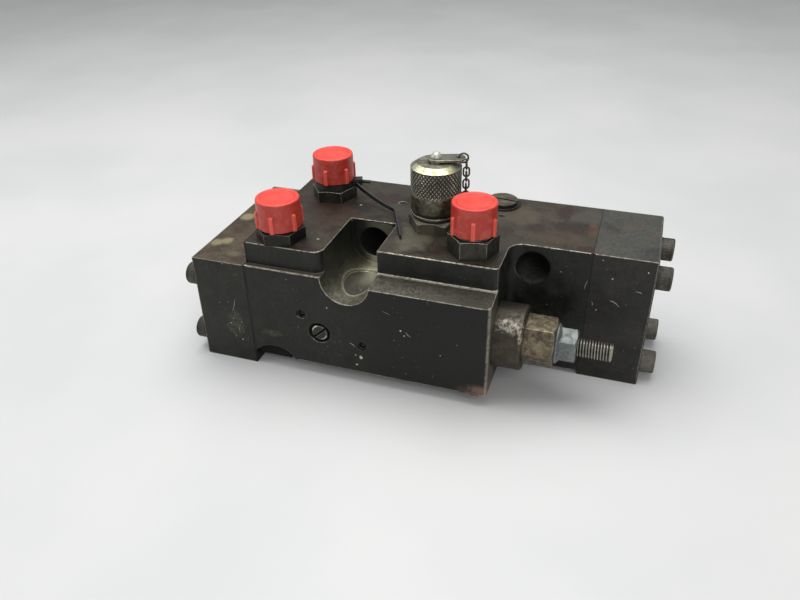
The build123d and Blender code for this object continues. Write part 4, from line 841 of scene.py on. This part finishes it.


# ------------------------------------------------------------------------------------------------
# Springs: copies of the CAD springs, the relief spring cut in two halves
# ------------------------------------------------------------------------------------------------


def spring(name, node, axis, ends, cut=None):
    """A copy of a CAD spring. ends are two places along the axis, one at each end; cut keeps what lies on
    the first end's side."""
    along = Vector([1.0 if step == axis else 0.0 for step in range(3)])
    coil = bmesh.new()
    coil.from_mesh(frame["nodes"][node].data)
    bmesh.ops.remove_doubles(coil, verts=coil.verts, dist=1e-7)
    if cut is not None:
        outwards = along if ends[0] < cut else -along
        bmesh.ops.bisect_plane(coil, geom=coil.verts[:] + coil.edges[:] + coil.faces[:], dist=1e-7,
                               plane_co=along * cut * MM, plane_no=outwards, clear_outer=True)
        bmesh.ops.holes_fill(coil, edges=coil.edges)
    bmesh.ops.recalc_face_normals(coil, faces=coil.faces)
    mesh = bpy.data.meshes.new(name)
    coil.to_mesh(mesh)
    coil.free()
    mesh.materials.append(MATERIALS[node_slot[node]])
    mesh.shade_smooth()
    mesh.set_sharp_from_angle(angle=math.radians(40))
    piece = bpy.data.objects.new(name, mesh)
    bpy.context.scene.collection.objects.link(piece)
    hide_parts(node)
    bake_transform(piece)


def spring_ends(node, axis, wire):
    """Where a spring's end coils stop along the axis, one wire from each end, in millimetres."""
    low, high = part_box(node)
    return low[axis] / MM + wire, high[axis] / MM - wire


X, Z = 0, 2
centring_wire, relief_wire, test_wire, check_wire = 2.6, 2.2, 0.4, 0.7
spring("left_centring_coil", "left_centring_spring", X,
       spring_ends("left_centring_spring", X, centring_wire))
spring("right_centring_coil", "right_centring_spring", X,
       spring_ends("right_centring_spring", X, centring_wire))
# The relief spring stands between two bodies without a joint, so it is two halves held at the middle.
low, high = spring_ends("relief_spring", X, relief_wire)
middle = (low + high) / 2
spring("relief_coil_left", "relief_spring", X, (low, middle), middle)
spring("relief_coil_right", "relief_spring", X, (high, middle), middle)
spring("test_poppet_coil", "test_poppet_spring", Z,
       spring_ends("test_poppet_spring", Z, test_wire))
spring("check_coil", "check_spring", Z,
       spring_ends("check_spring", Z, check_wire))


# ------------------------------------------------------------------------------------------------
# Scratches and chips: thin bright slabs let into the surface
# ------------------------------------------------------------------------------------------------

SCRATCH = turned_steel("scratch_metal", rgb(176, 172, 156), rgb(206, 202, 188), 0.4, 0.7,
                       grime=0.15, bevel=0.01)
SKIN = 0.03


def on_front(a, b):
    return Vector((a, front - SKIN, b))


def on_rear_part(a, b):
    return Vector((a, rear_part_front - SKIN, b))


def on_deck(a, b):
    return Vector((a, b, platform + SKIN))


def slab(verts, faces, face):
    """A sheet just above a face made into a closed slab that reaches as deep below it."""
    inwards = Vector((0, 0, -2 * SKIN)) if face is on_deck else Vector((0, 2 * SKIN, 0))
    count = len(verts)
    sides = [(corners[step - 1], corners[step]) for corners in faces for step in range(len(corners))]
    walls = [(b, a, a + count, b + count) for a, b in sides if (b, a) not in sides]
    under = [tuple(index + count for index in reversed(corners)) for corners in faces]
    return verts + [vert + inwards for vert in verts], faces + under + walls


def stroke(points, width, face):
    """(vertices, faces) of a tapered stroke; face turns (a, b) on a face into a point in the row frame."""
    verts, faces = [], []
    for step, (a, b) in enumerate(points):
        before = Vector(points[max(step - 1, 0)])
        after = Vector(points[min(step + 1, len(points) - 1)])
        along = (after - before).normalized()
        share = step / (len(points) - 1)
        half = width / 2 * (0.3 + 0.7 * math.sin(math.pi * min(max(share, 0.04), 0.96)))
        half *= 0.8 + 0.6 * noise.noise(Vector((a * 3.1, b * 2.7, width)))
        side = Vector((-along.y, along.x)) * half
        verts += [face(a + side.x, b + side.y), face(a - side.x, b - side.y)]
    for step in range(len(points) - 1):
        faces.append((2 * step, 2 * step + 1, 2 * step + 3, 2 * step + 2))
    return slab(verts, faces, face)


def curved(start, end, bow, count=10):
    """Points of a slightly bowed line."""
    start, end = Vector(start), Vector(end)
    along = end - start
    side = Vector((-along.y, along.x))
    return [tuple(start + along * t + side * bow * math.sin(math.pi * t)) for t in stack(0.0, 1.0, count)]


def chip(a, b, size, face, turn=0.0, stretch=1.4):
    """(vertices, faces) of a small uneven spot."""
    rim, corners = [], 9
    for step in range(corners):
        angle = 2 * math.pi * step / corners
        reach = size / 2 * (0.8 + 0.5 * noise.noise(Vector((a + step, b * 1.7, size))))
        flat = Vector((math.cos(angle) * stretch, math.sin(angle))) * reach
        flat.rotate(Matrix.Rotation(turn, 2))
        rim.append(face(a + flat.x, b + flat.y))
    return slab(rim, [tuple(range(corners))], face)


# Part of a ring left on the deck by something round.
ring_mark = [(-23.6 + 2.7 * math.cos(step / 5), 24.6 + 2.5 * math.sin(step / 5)) for step in range(3, 21)]
body_marks = [
    stroke(curved((89.4, 57.5), (90.5, 62.9), 0.05), 0.4, on_rear_part),
    stroke(curved((-58.5, 21.5), (-54.0, 20.5), 0.2), 0.35, on_deck),
    stroke(ring_mark, 0.45, on_deck),
    stroke(curved((-30.5, 27.0), (-27.6, 25.2), 0.1), 0.35, on_front),
    stroke(curved((2.6, 41.2), (5.4, 38.6), -0.1), 0.25, on_front),
    stroke(curved((-10.5, 52.0), (-6.0, 50.6), 0.05), 0.2, on_front),
]
for a, b, size, face in (
    (-24.1, 18.4, 2.1, on_front), (-26.8, 12.8, 1.3, on_front), (-27.3, 19.4, 0.8, on_front),
    (-42.9, 48.0, 0.9, on_front), (-0.3, 41.5, 1.2, on_front), (1.7, 38.7, 0.8, on_front),
    (-46.8, 15.0, 1.6, on_deck), (-53.7, -32.4, 1.3, on_deck), (76.0, 66.0, 0.7, on_rear_part),
    (70.5, 44.0, 0.6, on_rear_part), (-66.0, 62.0, 0.5, on_front), (22.0, 30.0, 0.6, on_front),
):
    body_marks.append(chip(a, b, size, face, a * 0.7))
right_marks = [
    stroke(curved((94.0, 50.7), (94.7, 47.9), 0.1), 0.45, on_rear_part),
    stroke(curved((103.2, 52.7), (108.6, 49.6), 0.12), 0.45, on_rear_part),
    stroke(curved((115.6, 60.5), (119.0, 59.9), 0.1), 0.35, on_rear_part),
    chip(97.0, 45.5, 0.9, on_rear_part, 0.4), chip(96.9, 76.5, 0.6, on_rear_part),
    chip(103.0, 66.3, 0.8, on_rear_part, 1.0), chip(120.3, 72.9, 0.8, on_rear_part, 2.0),
]
left_marks = [
    stroke(curved((-100.4, 43.0), (-103.6, 33.5), 0.03), 0.2, on_front),
    stroke(curved((-101.4, 26.0), (-100.4, 19.5), 0.05), 0.18, on_front),
    chip(-103.5, 29.0, 0.6, on_front, 0.8), chip(-105.6, 25.5, 0.8, on_front, 0.2),
    chip(-100.0, 24.4, 0.5, on_front, 0.8), chip(-98.2, 27.5, 0.6, on_front, 1.2),
    chip(-103.4, 16.6, 0.5, on_front, 2.0), chip(-99.2, 15.0, 0.7, on_front, 0.5),
]
for name, shells, node in (
    ("body_scratches", body_marks, "valve_body"),
    ("right_cap_scratches", right_marks, "right_end_cap"),
    ("left_cap_scratches", left_marks, "left_end_cap"),
):
    make(name, *joined(*shells), node, added=True, material=SCRATCH)


# ------------------------------------------------------------------------------------------------
# Stage, light and camera
# ------------------------------------------------------------------------------------------------


def stage():
    """A plain pale floor, three soft lamps and the camera that was fitted to the photo."""
    s = Shade("floor")
    tone = s.mix(s.band(s.noise(6, 3), 0.3, 0.7), rgb(206, 207, 206), rgb(214, 214, 212))
    material = s.finish(base_color=tone, roughness=s.mix_value(s.noise(40, 3), 0.42, 0.55), metallic=0.0)
    mesh = bpy.data.meshes.new("floor")
    reach = 6.0
    mesh.from_pydata([(-reach, -reach, 0), (reach, -reach, 0), (reach, reach, 0), (-reach, reach, 0)], [],
                     [(0, 1, 2, 3)])
    mesh.materials.append(material)
    floor = bpy.data.objects.new("floor", mesh)
    bpy.context.scene.collection.objects.link(floor)

    world = bpy.data.worlds.new("studio")
    world.use_nodes = True
    background = world.node_tree.nodes["Background"]
    background.inputs["Color"].default_value = (0.80, 0.82, 0.84, 1.0)
    background.inputs["Strength"].default_value = 0.45
    bpy.context.scene.world = world

    for name, place, aim, size, power in (
        ("overhead", (-0.1, 0.15, 0.95), (0, 0, 0.05), 0.9, 9.0),
        ("front", (0.55, -0.9, 0.75), (0, 0, 0.05), 0.6, 4.0),
        ("side", (-0.9, -0.3, 0.5), (0, 0, 0.05), 0.5, 2.0),
    ):
        light = bpy.data.lights.new(name, "AREA")
        light.size = size
        light.energy = power
        lamp = bpy.data.objects.new(name, light)
        lamp.location = place
        lamp.rotation_mode = "QUATERNION"
        lamp.rotation_quaternion = (Vector(aim) - Vector(place)).to_track_quat("-Z", "Y")
        bpy.context.scene.collection.objects.link(lamp)

    lens = bpy.data.cameras.new("camera")
    lens.lens = 33.2
    lens.sensor_width = 36.0
    lens.clip_start = 0.01
    camera = bpy.data.objects.new("camera", lens)
    right = Vector((0.94727, 0.32004, -0.01567))
    up = Vector((-0.15964, 0.51377, 0.84298))
    back = Vector((0.27784, -0.79602, 0.53777))
    facing = Matrix((right, up, back)).transposed().to_4x4()
    camera.matrix_world = Matrix.Translation((0.1067, -0.3575, 0.2683)) @ facing
    bpy.context.scene.collection.objects.link(camera)
    bpy.context.scene.camera = camera
    bpy.context.scene.view_settings.view_transform = "Standard"


stage()
